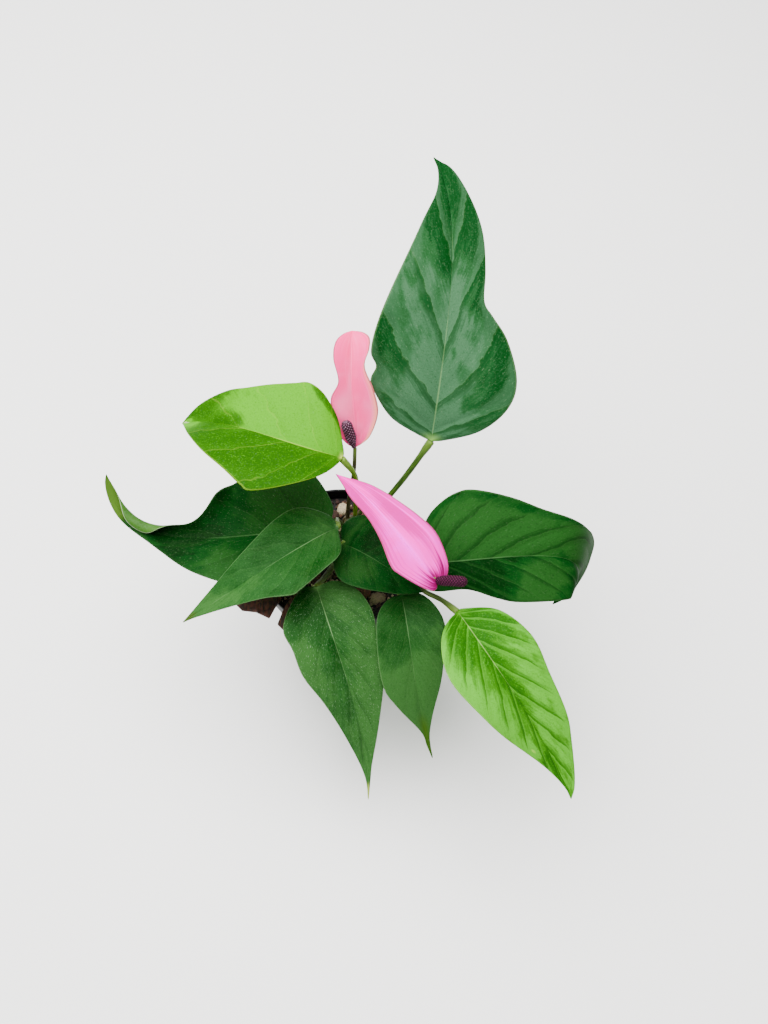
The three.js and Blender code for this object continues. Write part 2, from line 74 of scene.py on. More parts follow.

# Each leaf as in the part: the four control points of its midrib from stalk to tip, the points of
# its left and right margin as distance along and across the rib, and the way its halves rise, curl
# and wave. up and roll turn it about its rib, and late_curl curls its right half further, growing
# between the two shares of its length in late_share. relief is how far it swells between its side
# veins, and veins how many each half has. quilt_shading says how strong the painted shade in the
# hollows along its side veins, the painted highlight just past each of them and the painted light
# and shade of its blisters are, brushed how clear its brush marks are, lined its side veins, ribbed
# its midrib and dust its pale flecks, shine how much its wax gleams, foot the colour where its stalk
# joins, its own paler green, which on some leaves is lightened further as painted light where the
# other leaves shade it, and tint whose greens it has, if not those of its own slot. tones are
# patches of painted sheen and painted shade in deeper or lighter green, and some near the foot are
# painted light where the other leaves shade it: the place along the rib as a share of its length and
# across as a share of the half, the reach both ways, and how much lighter (or deeper, below 0). A
# patch stays on the half that its middle lies on, and where one is 3 or more, it has the colour named
# pale: the paler colour of the tip on most leaves, and a painted glare at the lime leaf's tip. stalk
# lists the points of its petiole.
LEAVES = [
    {
        "name": "leaf_top",
        "green": "leaf_dark",
        "rib": ((54, 39, 150), (61, 72, 200), (73, 135, 220), (61, 192, 221)),
        "left": ((3, -9), (11, -25), (25, -37), (31, -39), (38, -37), (46, -41), (63, -39), (90, -31),
                 (127, -18), (150, -8), (168, -4)),
        "right": ((2, 8), (11, 27), (25, 40), (40, 42.5), (60, 34.5), (72, 25), (80, 19.5), (97, 19),
                  (121, 17), (147, 11), (170, 4)),
        "tip": (180, -4),
        "wave": (1.2, 2),
        "relief": 0.9,
        "veins": 5,
        "quilt_shading": 0.7,
        "shine": 0.008,
        "foot": "#86b84c",
        "tones": ((0.12, 0.0, 0.3, 0.8, 1.0), (0.42, 0.15, 0.15, 0.25, 0.8), (0.5, -0.7, 0.14, 0.5, 0.4),
                  (0.8, -0.4, 0.16, 0.8, -0.9), (0.82, 0.7, 0.2, 0.5, -1.2),
                  (0.6, -0.15, 0.06, 0.25, -1.0), (0.45, 0.95, 0.3, 0.2, -1.1),
                  (0.33, -0.95, 0.09, 0.25, -1.3), (0.2, 0.75, 0.08, 0.3, -1.0),
                  (0.22, 0.32, 0.035, 0.09, -1.1), (0.14, 0.42, 0.025, 0.12, -0.9),
                  (0.3, 0.16, 0.05, 0.07, -0.9), (0.25, -0.55, 0.06, 0.1, -0.9)),
        "stalk": ((8, 16, 92), (19, 19, 102), (37, 28.5, 124), (54, 39, 150)),
        "stalk_radius": 1.7,
        "stalk_colours": ("#34520f", "#1a2c08"),
    },
    {
        "name": "leaf_lime",
        "green": "leaf_lime",
        "rib": ((4, 15, 166), (-28, 12, 184), (-63, 39, 174), (-88, 48, 154)),
        "left": ((2, -4), (11, -17), (22, -28), (35, -39), (40, -38), (51, -32), (70, -23), (89, -12)),
        "right": ((-1, 5), (4, 22), (15, 31.5), (25, 37), (35, 39.5), (43, 36.5), (54, 31.5), (68, 25.5),
                  (82, 21.5), (96, 12)),
        "fold": 15,
        "wave": (0.8, 2),
        "relief": 0.25,
        "veins": 5,
        "quilt_shading": 0.1,
        "brushed": 0.1,
        "lined": 0.12,
        "shine": 0.012,
        "foot": "#c4d058",
        # Its pale colour is a painted glare at the tip, and its upper half is painted lighter as painted
        # sheen.
        "pale": "#8f9f72",
        "tones": ((0.35, 0.5, 0.42, 0.9, 1.4), (0.66, 0.1, 0.1, 0.25, -1.5), (0.88, 0.8, 0.1, 0.6, -1.6),
                  (0.15, 0.98, 0.14, 0.13, -2.2), (0.4, -0.7, 0.5, 0.7, -1.0), (0.0, -0.5, 0.06, 1.0, 0.7),
                  (1.0, -0.2, 0.1, 0.6, 4.5), (1.0, 0.2, 0.06, 0.3, 4.5)),
        "stalk": ((9.5, 17.5, 96), (10.5, 18, 122), (11.5, 15.5, 141), (10, 13, 156), (4, 15, 166)),
        "stalk_radius": 1.5,
        "stalk_colours": ("#5c7c12", "#3c5812"),
    },
    {
        "name": "leaf_back_left",
        "green": "leaf_deep",
        "rib": ((-7, 1, 112), (-48, -8, 134), (-127, -14, 90), (-133, 27, 134)),
        "left": ((7, -14), (22, -29), (36, -35), (50, -34), (73, -24), (94, -11), (108, -5.5),
                 (127, -3.5), (142, -2)),
        "right": ((-6, 11), (-7, 21), (1, 38.5), (11, 40.5), (34, 42), (47, 39), (56, 33.5), (63, 27),
                  (69, 18), (75, 12), (82, 9), (89, 9.5), (96, 12), (104, 15), (115, 14), (127, 9),
                  (140, 3)),
        "fold": 10,
        "curl": -0.004,
        "late_curl": 0.3,
        "late_share": (0.36, 0.75),
        "relief": 0.3,
        "veins": 6,
        "quilt_shading": 0.25,
        "shine": 0.012,
        "pale": "#3f5c1c",
        "tones": ((0.1, 0.5, 0.2, 0.8, 1.1), (0.42, -0.7, 0.1, 0.6, 1.0), (0.6, 0.0, 0.16, 1.2, -1.2),
                  (0.9, 0.0, 0.16, 3.0, 4.2)),
        "stalk": ((8, 16, 88), (2, 10, 97), (-3.5, 4.5, 105), (-7, 1, 112)),
        "stalk_radius": 1.5,
    },
    {
        "name": "leaf_front_left",
        "green": "leaf_mid",
        "rib": ((1, -7, 130), (-25, -30, 144), (-59, -49, 126), (-85, -53, 104)),
        "left": ((3, -4), (12, -17), (25, -21), (39, -24), (44, -24), (57, -16), (77, -8), (95, -2.5)),
        "right": ((-1, 8), (8, 18.5), (18, 22.4), (32, 21.4), (49, 17), (74, 10), (95, 4)),
        "wave": (0.6, 2),
        "relief": 0.25,
        "veins": 6,
        "quilt_shading": 0.2,
        "foot": "#56784c",
        "pale": "#354a18",
        "tones": ((0.65, -0.4, 0.2, 0.6, 0.5), (0.35, 0.6, 0.35, 0.6, -0.3), (0.06, 0.0, 0.06, 1.2, 0.5),
                  (0.3, -0.9, 0.25, 0.3, -0.6), (0.8, 0.0, 0.15, 0.8, 0.3), (1.0, 0.0, 0.16, 2.0, 4.0)),
        "stalk": ((8, 16, 92), (3, 11, 104), (0, 6, 118), (0.5, -1, 127), (1, -7, 130)),
        "stalk_radius": 1.4,
    },
    {
        "name": "leaf_front",
        "green": "leaf_mid",
        "rib": ((-11, -33, 108), (3, -79, 109), (17, -93, 53), (18, -131, 34)),
        "left": ((0, -11), (9, -21), (23, -25.5), (37, -24), (57, -21.5), (82, -13), (107, -4.5),
                 (118, -2)),
        "right": ((-1, 8), (8, 18), (19, 25.5), (30, 24), (45, 23), (65, 16), (95, 7.5), (118, 1)),
        "wave": (0.8, 2),
        "relief": 0.45,
        "veins": 7,
        "quilt_shading": 0.3,
        "dust": 0.4,
        "ribbed": 0.95,
        # Its foot is lightened as painted light where the other leaves shade it.
        "foot": "#78a860",
        "pale": "#7f8e38",
        "tones": ((0.75, 0.0, 0.2, 1.5, 0.7), (0.4, -0.6, 0.35, 0.7, 0.7), (0.3, 0.8, 0.14, 0.35, 1.1),
                  (0.3, 0.1, 0.12, 0.15, -0.5), (0.05, 0.7, 0.1, 0.5, -1.4), (0.0, 0.0, 0.1, 0.9, 0.9),
                  (1.0, 0.0, 0.1, 2.0, 4.5)),
        "stalk": ((8, 16, 83), (4, 4, 90), (-4, -16, 99), (-11, -33, 108)),
        "stalk_radius": 1.6,
    },
    {
        "name": "leaf_down",
        "green": "leaf_dark",
        "rib": ((37, -36, 104), (43, -74, 107), (45, -86, 62), (55, -110, 44)),
        "left": ((-2, -5), (6, -15), (20, -21), (38, -18), (55, -14), (76, -6), (88, -2)),
        "right": ((2, 8), (12, 16), (31, 19), (50, 18.5), (62, 13.5), (83, 2.5), (93, 1)),
        "fold": 10,
        "wave": (0.5, 2),
        "relief": 0.2,
        "veins": 6,
        "quilt_shading": 0.1,
        "tint": "leaf_mid",
        "foot": "#2c6a2c",
        "pale": "#2e4a10",
        "tones": ((0.55, 0.0, 0.2, 1.5, 0.05), (0.25, 0.3, 0.12, 0.6, -0.5), (0.08, 0.0, 0.12, 1.5, -0.3),
                  (1.0, 0.0, 0.45, 2.0, 4.0)),
        "stalk": ((8, 16, 83), (14, 6, 90), (27, -17, 98), (37, -36, 104)),
        "stalk_radius": 1.4,
    },
    {
        "name": "leaf_lower_right",
        "green": "leaf_bright",
        "rib": ((67, -56, 122), (86, -96, 135), (114, -112, 86), (128, -141, 68)),
        "left": ((0, -4), (12, -19), (33, -25.5), (57, -23), (82, -19), (96, -14), (117, -5)),
        "right": ((5, 10), (15, 20), (28, 26), (44, 25), (68, 19), (99, 6.5), (117, 0.5)),
        "wave": (0.8, 3),
        "relief": 0.9,
        "veins": 9,
        "quilt_shading": 0.8,
        "foot": "#4a8012",
        "pale": "#86b434",
        "tones": ((0.35, 0.0, 0.3, 0.2, -0.8), (0.12, -0.5, 0.1, 0.6, -1.2), (0.1, 0.5, 0.12, 0.35, -1.2),
                  (0.55, -0.7, 0.35, 0.5, 0.7), (0.3, 0.9, 0.3, 0.3, 1.0), (0.55, 0.6, 0.2, 0.4, 0.4),
                  (0.87, 0.4, 0.12, 0.6, -1.3), (0.65, -0.15, 0.1, 0.2, 0.8), (0.7, 0.78, 0.04, 0.14, 2.9)),
        "stalk": ((8, 16, 88), (16, 8, 95), (33, -14, 103), (49, -34.5, 107.5), (59, -44, 113.5),
                  (67, -56, 122)),
        "stalk_radius": 1.4,
    },
    {
        "name": "leaf_right",
        "green": "leaf_dark",
        "rib": ((41, -28, 126), (65, -39, 140), (168, -20, 155), (124, -36, 94)),
        "left": ((0, -13), (4, -22), (11, -29), (22, -36), (31, -39), (40, -39), (61, -33), (77, -26),
                 (90, -24), (99, -26), (106, -32), (110, -33), (112, -22), (117, -10), (124, -6)),
        "right": ((5, 9), (10, 14), (17, 16), (32, 16), (47, 22), (58, 25), (75, 25), (90, 23),
                  (102, 19), (112, 13), (122, 5)),
        "up": (0.6, 0, 0.8),
        "roll": (-24, -10),
        "fold": 5,
        "wave": (1, 3),
        "relief": 0.8,
        "veins": 8,
        "quilt_shading": 0.5,
        "dust": 0.05,
        "tint": "leaf_deep",
        "shine": 0.005,
        "tones": ((0.4, -0.5, 0.4, 0.6, 1.3), (0.3, 0.4, 0.35, 0.9, -0.8), (0.55, 0.5, 0.1, 0.4, 2.2),
                  (0.5, 0.88, 0.07, 0.2, 1.8), (0.45, -1.0, 0.4, 0.2, -1.0), (0.85, -0.5, 0.16, 0.9, 0.9),
                  (0.85, 0.5, 0.1, 0.6, 0.5)),
        "stalk": ((8, 16, 92), (15, 13, 101), (29, 5, 113), (39.5, -11, 121), (41, -28, 126)),
        "stalk_radius": 1.6,
    },
    {
        "name": "leaf_centre",
        "green": "leaf_deep",
        "rib": ((4, -10, 117), (17, -21, 126), (34, -29, 118), (48, -38, 111)),
        "left": ((-5, -3), (-11, -10), (-10, -17), (-3, -22), (10, -22), (23, -18), (34, -12), (45, -6)),
        "right": ((0, 5), (4, 13), (14, 22), (26, 20), (42, 11.5), (49, 6)),
        "fold": 10,
        "wave": (0.4, 2),
        "relief": 0.3,
        "veins": 5,
        "quilt_shading": 0.3,
        "shine": 0.012,
        "tones": ((0.35, 0.5, 0.2, 0.4, 0.7), (0.3, -0.3, 0.2, 0.4, -0.6), (0.7, 0.6, 0.1, 0.5, -0.4),
                  (0.1, 0.9, 0.1, 0.3, 0.6), (0.0, 0.0, 0.07, 1.5, 0.8)),
        "stalk": ((8, 16, 94), (7, 7, 104), (5, -2, 112), (4, -10, 117)),
        "stalk_radius": 1.3,
    },
]

# Each bloom: its spathe is laid out as a leaf is. spathe_colours are its skin, its streaks, its pale
# parts, its lower margin and the stain at its foot. stripe says how clear the pale stripe along its
# middle is, and stained how far the stain reaches. spadix gives the two ends of the spadix's axis,
# spadix_neck its width at the foot as a share of the full one and how far along it is full, and
# spadix_colours the painted shade in its gaps between the florets, its crests and its pollen.
BLOOMS = [
    {
        "name": "bloom_upper",
        "rib": ((10.5, 36, 148), (9.5, 48.5, 166), (7.5, 55, 188.5), (9.5, 75.5, 201)),
        "left": ((2, -4), (8, -8.5), (18, -11), (31, -12.5), (40, -7.5), (52, -10), (60, -9), (64.5, -5)),
        "right": ((2, 4), (8, 10), (22, 15), (36, 13), (48, 8.5), (57, 11), (63, 11), (66, 7)),
        "spathe_slot": "spathe_pink",
        "spathe_colours": ("#ff3a88", "#e42872", "#ff78a8", "#f69478", "#b01450"),
        "stripe": 0.25,
        "stained": -0.08,
        "tones": ((0.38, -0.4, 0.16, 0.6, -1.0), (0.3, 0.9, 0.25, 0.35, -0.8),
                  (0.57, -0.1, 0.12, 0.15, -0.8)),
        "stalk": ((5, 19, 96), (6.3, 18.5, 118), (9.7, 27.5, 136), (10.5, 36, 148)),
        "stalk_slot": "peduncle",
        "stalk_colours": ("#3c3a20", "#241e14"),
        "spadix": ((10, 34.8, 149.3), (5.5, 38.9, 168)),
        "spadix_radius": 3.1,
        "spadix_neck": (0.4, 0.42),
        "spadix_slot": "spadix_lilac",
        "spadix_colours": ("#200c16", "#563042", "#94708a"),
    },
    {
        "name": "bloom_side",
        "rib": ((54, -52, 150), (36, -36, 162), (22, -12, 168), (1, 5, 165)),
        "left": ((-3, -4), (0, -9), (14, -16), (20, -17), (33, -12), (46, -9), (61, -8), (72, -4)),
        "right": ((-3, 4), (3, 11), (18, 16), (31, 15), (47, 11), (61, 7), (72, 2.5)),
        "spathe_slot": "spathe_magenta",
        "spathe_colours": ("#ec02b0", "#b00178", "#ff34e6", "#d004a0", "#5c0130"),
        "stripe": 0.6,
        "stained": 0.12,
        "tones": ((0.45, 0.5, 0.25, 0.3, 1.7), (0.8, -0.8, 0.22, 0.6, 1.7), (0.5, -0.95, 0.35, 0.3, 1.2),
                  (0.8, 0.9, 0.2, 0.3, 1.2), (0.3, 0.0, 0.2, 0.5, -0.7)),
        "stalk": ((9, 13.5, 95), (14, 13.5, 116), (27, 0, 143), (42, -28, 154), (54, -52, 150)),
        "stalk_slot": "petiole",
        "stalk_colours": ("#3f5220", "#263412"),
        "spadix": ((55, -52.6, 151), (69, -59, 161)),
        "spadix_radius": 2.7,
        "spadix_neck": (0.78, 0.25),
        "spadix_slot": "spadix_maroon",
        "spadix_colours": ("#140109", "#340520", "#4e1438"),
    },
]
SPATHE_FORM = {"fold": 25, "curl": -0.01, "relief": 0.15, "veins": 4}
SPATHE_GRID = {"ridge": 0.4, "rows": 110, "columns": 24}
SPATHE_SEED = 40
SPADIX_STEPS = 170
SPADIX_SIDES_PER_FLORET = 20
SPADIX_BEND = 0.6

PETIOLE_STREAKS = "#263412"
PEDUNCLE_RADIUS = 1.15
PETIOLE_GROOVE = 0.14
STALK_STEPS = 90
STALK_SIDES = 20
STALK_CUTS = 40

# What a leaf or a spathe has where its own entry says nothing else
BLADE_DEFAULTS = {
    "up": (0, 0, 1),
    "roll": (0, 0),
    "fold": 12,
    "curl": -0.006,
    "late_curl": 0,
    "late_share": (0, 1),
    "wave": (0, 0),
    "tip": None,
    "quilt_shading": 0,
    "dust": 0.12,
    "brushed": 0.2,
    "lined": 0.05,
    "ribbed": 0.55,
    "shine": 0.02,
    "foot": "#3c5a24",
    "pale": "#93a06a",
    "tones": (),
}

# The streaks, brush marks, flecks and the painted light and shade of the blisters of a leaf's skin:
# how many there are across the blade and from its foot to its tip, and how fine their detail is
LEAF_MARKS = ((4.0, 70.0, 4.0), (11.0, 130.0, 4.0), (50.0, 300.0, 1.0), (9.0, 24.0, 1.0))

# How finely midribs and outlines are cut, and how a blade's rows and waves run
RIB_SAMPLES = 128
OUTLINE_STEPS = 24
STATION_POWER = 1.5
TIP_BEND_POWER = 9
LEFT_WAVE_PHASE = 1.7
WAVE_REACH = 30
FLAT_CURL = 1e-5

# A blade swells fully where its veins are this far apart, its margin is thinner by this share, and
# its midrib stands out above by this share of its height below
VEIN_ROOM = 9
MARGIN_THINNING = 0.55
RIDGE_ABOVE = 0.15

# The height and the length of a blade's gentle unevenness
BLADE_RIPPLES = (0.7, 38)

# The length that one unit of a UV map stands for along a stalk or a profile
UV_LENGTH = 100

# The sides and the ends of a grid, each with the axis that runs across it
SIDE_EDGES = ((np.s_[:, :1], 1), (np.s_[:, -1:], 1))
END_EDGES = ((np.s_[:1], 0), (np.s_[-1:], 0))

CROWN = {"x": 8, "y": 16, "radius": 5.4, "bottom": 66, "top": 103}
CROWN_RINGS = {"height": 0.35, "spacing": 4.2, "width": 0.5}
SHEATHS = {"count": 5, "foot": 79, "length": 14, "thickness": 0.4}

# The turn in radians from one chip or sheath to the next, which spreads them evenly
GOLDEN_TURN = 2.4

POT = {"height": 88, "rim": 48, "base": 34, "wall": 1.6, "floor": 2.4, "collar": 12, "step": 1.6}
DRAIN = {"holes": 6, "radius": 3.2, "circle": 23, "depth": 12, "sides": 28}

# Edges of the pot that turn by more than this, in degrees, stay crisp
POT_CREASE = 32

SOIL_TOP = 83
SOIL_FALL = 1.9
SOIL_EDGE = 45.2
SOIL_SIDES = 160
SEAT_GAP = 0.3
CHIP_COUNT = 60
CHIP_DRAWS = 5
CHIP_SEED = 11
CHIP_SPREAD = 37.5
CHIP_ROUGHNESS = 0.17

BARK_BOTTOM = 88.3
BARK_THICKNESS = 2.4
BARK_FLAKE = ((-31, -27), (-40, -23), (-52, -29), (-59, -34), (-55, -38), (-47, -39), (-39, -43),
              (-36, -36))
BARK_SPLINTER = ((-24, -23), (-18, -24.5), (-22, -33), (-26, -41), (-30, -51), (-34, -47),
                 (-31, -37), (-27, -29))

# The camera looks down at the pot's rim, whose middle is at this place in the photo, in pixels. Its
# elevation is in degrees and its distance in metres.
PHOTO_SIZE = (768, 1024)
RIM_IN_PHOTO = (339, 555)
FOCAL_IN_PIXELS = 1000
CAMERA_ELEVATION = 57
CAMERA_DISTANCE = 0.6


def linear(hex_colour):
    """The linear RGBA of an sRGB hex value: c / 12.92 near black, else ((c + 0.055) / 1.055) ** 2.4."""
    channels = [int(hex_colour[i:i + 2], 16) / 255 for i in (1, 3, 5)]
    return tuple(c / 12.92 if c <= 0.04045 else ((c + 0.055) / 1.055) ** 2.4 for c in channels) + (1.0,)


# Shapes


def unit(vectors):
    """Each vector over its own length."""
    return vectors / np.maximum(np.linalg.norm(vectors, axis=-1, keepdims=True), 1e-12)


def smooth_step(values, low, high):
    """0 below low and 1 above high, with 3t^2 - 2t^3 between, where t is how far along it is."""
    t = np.clip((values - low) / (high - low), 0, 1)
    return t * t * (3 - 2 * t)


def distances(points):
    """How far along a line of points each of them lies."""
    return np.concatenate([[0], np.cumsum(np.linalg.norm(np.diff(points, axis=0), axis=1))])


def read_off(table, lengths, wanted):
    """The rows of a table, one for each of the lengths, read off in between at the wanted ones."""
    return np.stack([np.interp(wanted, lengths, column) for column in table.T], axis=-1)


def together(*parts):
    """Grids of single numbers as one grid of points."""
    return np.stack(np.broadcast_arrays(*parts), axis=-1)


def rib_line(controls):
    """The cubic curve (1-t)^3 A + 3t(1-t)^2 B + 3t^2(1-t) C + t^3 D as points, directions and lengths."""
    a, b, c, d = np.array(controls, float)
    t = np.linspace(0, 1, RIB_SAMPLES + 1)[:, None]
    points = (1 - t) ** 3 * a + 3 * t * (1 - t) ** 2 * b + 3 * t ** 2 * (1 - t) * c + t ** 3 * d
    slopes = (1 - t) ** 2 * (b - a) + 2 * t * (1 - t) * (c - b) + t ** 2 * (d - c)
    return points, unit(slopes), distances(points)


def blade_surface(blade, rib, along, across):
    """Points of a blade at the distances along and across its rib.

    From the rib's point, each half runs out at the fold angle and bends on an arc of curvature k:
    out = (sin(fold + k a) - sin fold) / k and up = (cos fold - cos(fold + k a)) / k at the distance a
    across, plus the waves of the margin, which grow with the square of a.
    """
    points, directions, lengths = rib
    inside = np.clip(along, 0, lengths[-1])
    share = inside / lengths[-1]
    tangent = unit(read_off(directions, lengths, inside))
    point = read_off(points, lengths, inside) + tangent * (along - inside)[..., None]

    side = unit(np.cross(tangent, np.array(blade["up"], float)))
    lift = np.cross(side, tangent)
    roll = np.radians(blade["roll"][0] + (blade["roll"][1] - blade["roll"][0]) * share)[..., None]
    out = side * np.cos(roll) + lift * np.sin(roll)
    normal = lift * np.cos(roll) - side * np.sin(roll)

    reach = np.abs(across)
    fold = math.radians(blade["fold"])
    late = blade["late_curl"] * smooth_step(share, *blade["late_share"])
    curl = blade["curl"] + np.where(across > 0, late, 0)
    curl = np.where(np.abs(curl) < FLAT_CURL, FLAT_CURL, curl)
    outwards = (np.sin(fold + curl * reach) - math.sin(fold)) / curl
    upwards = (math.cos(fold) - np.cos(fold + curl * reach)) / curl
    height, count = blade["wave"]
    phase = np.where(across > 0, 0, LEFT_WAVE_PHASE)
    wave = height * (reach / WAVE_REACH) ** 2 * np.sin(2 * np.pi * count * share + phase)
    return point + out * (np.sign(across) * outwards)[..., None] + normal * (upwards + wave)[..., None]


def margin_stations(points, count):
    """A smooth line through the points, on uniform Catmull-Rom segments, cut into equal lengths."""
    points = np.array(points, float)
    padded = np.vstack([2 * points[0] - points[1], points, 2 * points[-1] - points[-2]])
    a, b, c, d = (padded[i:len(padded) - 3 + i, None, :] for i in range(4))
    t = (np.arange(OUTLINE_STEPS) / OUTLINE_STEPS)[None, :, None]
    line = 0.5 * (2 * b + (c - a) * t + (2 * a - 5 * b + 4 * c - d) * t ** 2
                  + (3 * b - a - 3 * c + d) * t ** 3)
    line = np.vstack([line.reshape(-1, 2), points[-1:]])
    lengths = distances(line)
    return read_off(line, lengths, np.linspace(0, lengths[-1], count))


def blade_grid(blade, rows, columns):
    """Where each point of a blade's grid lies, along and across its rib.

    A row runs from a station of the rib to the same share of each margin's length, and the columns
    stand closer near the rib. Also gives how far out each column is, from -1 at the left margin to 1
    at the right, and the vein coordinate q = s^0.7 (1 - g) + (s - 0.08) g, where s is the row's share
    and g = |out|^0.8. It is constant along a side vein: those fan out from the foot and run forward.
    """
    tip = blade["tip"] or (rib_line(blade["rib"])[2][-1], 0)
    left = margin_stations([(0, 0), *blade["left"], tip], rows)
    right = margin_stations([(0, 0), *blade["right"], tip], rows)
    share = np.linspace(0, 1, rows)
    middle = np.stack([tip[0] * share ** STATION_POWER, tip[1] * share ** TIP_BEND_POWER], axis=-1)
    even = np.linspace(-1, 1, 2 * columns + 1)
    out = np.sign(even) * np.abs(even) ** 1.5
    edge = np.where((out < 0)[None, :, None], left[:, None, :], right[:, None, :])
    place = middle[:, None, :] + np.abs(out)[None, :, None] * (edge - middle[:, None, :])
    outward = np.abs(out)[None, :] ** 0.8
    vein = share[:, None] ** 0.7 * (1 - outward) + (share[:, None] - 0.08) * outward
    return place[..., 0], place[..., 1], middle[:, None, 1], out, vein


def grid_normals(points):
    """The direction that a grid of points faces: across its rows times along them."""
    normals = unit(np.cross(np.gradient(points, axis=1), np.gradient(points, axis=0)))
    normals[0] = unit(normals[1].mean(axis=0))
    normals[-1] = unit(normals[-2].mean(axis=0))
    return normals


def ripples(along, across, seed, height, length):
    """Gentle unevenness: the mean of four crossed sine waves of about that length, times the height."""
    random = np.random.default_rng(seed)
    turns = random.uniform(0, np.pi, 4)
    phases = random.uniform(0, 6, 4)
    stretches = random.uniform(0.7, 1.5, 4)
    total = np.zeros(np.broadcast(along, across).shape)
    for turn, phase, stretch in zip(turns, phases, stretches):
        run = along * np.cos(turn) + across * np.sin(turn)
        total += np.sin(2 * np.pi * stretch / length * run + phase)
    return total * height / 4


def edge_strips(front, back, uv, shade, edges):
    """Strips from the front of a thin piece to its back, each along an edge of their grid."""
    return [
        (np.concatenate([front[edge], back[edge]], axis=axis), np.concatenate([uv[edge]] * 2, axis=axis),
         np.concatenate([shade[edge]] * 2, axis=axis), 0)
        for edge, axis in edges
    ]


def blade_sheets(blade, thickness, ridge, rows, columns, seed):
    """The upper face, the underside and the two margins of a blade, each with its UV and its shade.

    The blade's surface swells between the side veins as the square root of |sin(pi n q)|, where q is
    the vein coordinate and n the count of veins, less where the veins crowd together. The faces lie
    half the thickness out on either side, less at the margin. The midrib stands out below as a bell
    across the rib that sinks towards the tip, and a little above. The shade is the sum of the tones,
    the painted sheen and shade, each a bell of its amount over its reach on its half of the blade.
    """
    rib = rib_line(blade["rib"])
    along, across, rib_across, out, vein = blade_grid(blade, rows, columns)
    points = blade_surface(blade, rib, along, across)
    normals = grid_normals(points)
    steps = np.maximum(np.gradient(vein, axis=0), 1e-4) * blade["veins"]
    room = np.clip(np.linalg.norm(np.gradient(points, axis=0), axis=-1) / steps / VEIN_ROOM, 0, 1)
    band = np.sin(np.pi * np.abs(out) ** 0.8)[None, :] * (1 - smooth_step(vein, 0.86, 1))
    swell = np.sqrt(np.abs(np.sin(np.pi * blade["veins"] * vein))) * blade["relief"] * room * band
    uneven = ripples(along, across, seed, *BLADE_RIPPLES) * band
    points = points + normals * (swell + uneven)[..., None]
    normals = grid_normals(points)

    half = 0.5 * thickness * (1 - MARGIN_THINNING * smooth_step(np.abs(out), 0.95, 1))[None, :]
    from_rib = np.abs(across - rib_across)
    share = np.linspace(0, 1, rows)[:, None]
    width = 1.5 - 1.1 * share
    rise = np.exp(-(from_rib / width) ** 2) * (1 - share) ** 0.7
    upper = points + normals * (half + RIDGE_ABOVE * ridge * rise)[..., None]
    under = points - normals * (half + ridge * rise)[..., None]
    uv = together(0.5 + 0.5 * out[None, :], vein)
    shade = np.zeros(across.shape)
    for place, side, reach, spread, amount in blade["tones"]:
        far = ((along / rib[2][-1] - place) / reach) ** 2 + ((out[None, :] - side) / spread) ** 2
        shade += amount * np.exp(-far) * (out[None, :] * side >= 0)
    margins = edge_strips(upper, under, uv, shade, SIDE_EDGES)
    return [(upper, uv, shade, 0), (under, uv, shade, 1), *margins]


def stalk_line(points, steps):
    """A smooth line through the points, cut into equal lengths, and its directions.

    Each segment is the cubic through its two ends whose slopes come from the points on either side,
    with knots spaced by the square root of the distances, as the centripetal Catmull-Rom curve has.
    """
    points = np.array(points, float)
    padded = np.vstack([2 * points[0] - points[1], points, 2 * points[-1] - points[-2]])
    knots = np.sqrt(np.linalg.norm(np.diff(padded, axis=0), axis=1))[:, None]
    a, b, c, d = (padded[i:len(padded) - 3 + i] for i in range(4))
    before, middle, after = knots[:-2], knots[1:-1], knots[2:]
    start = ((b - a) / before - (c - a) / (before + middle) + (c - b) / middle) * middle
    end = ((c - b) / middle - (d - b) / (middle + after) + (d - c) / after) * middle
    t = np.linspace(0, 1, STALK_CUTS, endpoint=False)[None, :, None]
    b, c, start, end = (value[:, None, :] for value in (b, c, start, end))
    line = (b + start * t + (3 * (c - b) - 2 * start - end) * t ** 2
            + (2 * (b - c) + start + end) * t ** 3).reshape(-1, 3)
    line = np.vstack([line, points[-1:]])
    lengths = distances(line)
    wanted = np.linspace(0, lengths[-1], steps)
    even = read_off(line, lengths, wanted)
    return even, unit(np.gradient(even, axis=0)), wanted


def round_line(centre, side, over, radius, turn):
    """Points round a line: centre + r (side cos a + over sin a), with an r for each of them."""
    return centre[:, None] + radius[..., None] * (side[:, None] * np.cos(turn)[None, :, None]
                                                  + over[:, None] * np.sin(turn)[None, :, None])


def stalk_sheet(points, radius, groove):
    """A round stalk along a smooth line, closed at both ends.

    A shallow groove runs along its upper side, where the radius shrinks by that share around the
    angle of 90 degrees. The shade is the share of the length.
    """
    steps = len(radius)
    centre, tangent, length = stalk_line(points, steps)
    chord = centre[-1] - centre[0]
    level = unit(np.cross(chord, (0, 0, 1)))
    side = unit(level - tangent * (tangent @ level)[:, None])
    over = np.cross(tangent, side)
    over *= np.where(over[:, 2:] < 0, -1, 1)
    share = np.linspace(0, 1, steps)
    radius = np.where((share > 0) & (share < 1), radius, 0)
    turn = np.linspace(0, 2 * np.pi, STALK_SIDES + 1)
    shape = 1 - groove * np.exp(-(((turn - np.pi / 2) / 0.5) ** 2))
    sheet = round_line(centre, side, over, radius[:, None] * shape[None, :], turn)
    uv = together(turn[None, :] / (2 * np.pi), length[:, None] / UV_LENGTH)
    return sheet, uv, np.broadcast_to(share[:, None], uv.shape[:2]), 0


def turned_sheet(profile, sides, centre=(0, 0)):
    """A profile of (radius, height) turned about an upright axis through the centre."""
    profile = np.array(profile, float)
    turn = np.linspace(0, 2 * np.pi, sides + 1)
    radius, height = profile[:, 0, None], profile[:, 1, None]
    sheet = together(centre[0] + radius * np.cos(turn), centre[1] + radius * np.sin(turn), height)
    uv = together(turn[None, :] / (2 * np.pi), distances(profile)[:, None] / UV_LENGTH)
    return sheet, uv, np.zeros(uv.shape[:2]), 0


# Meshes


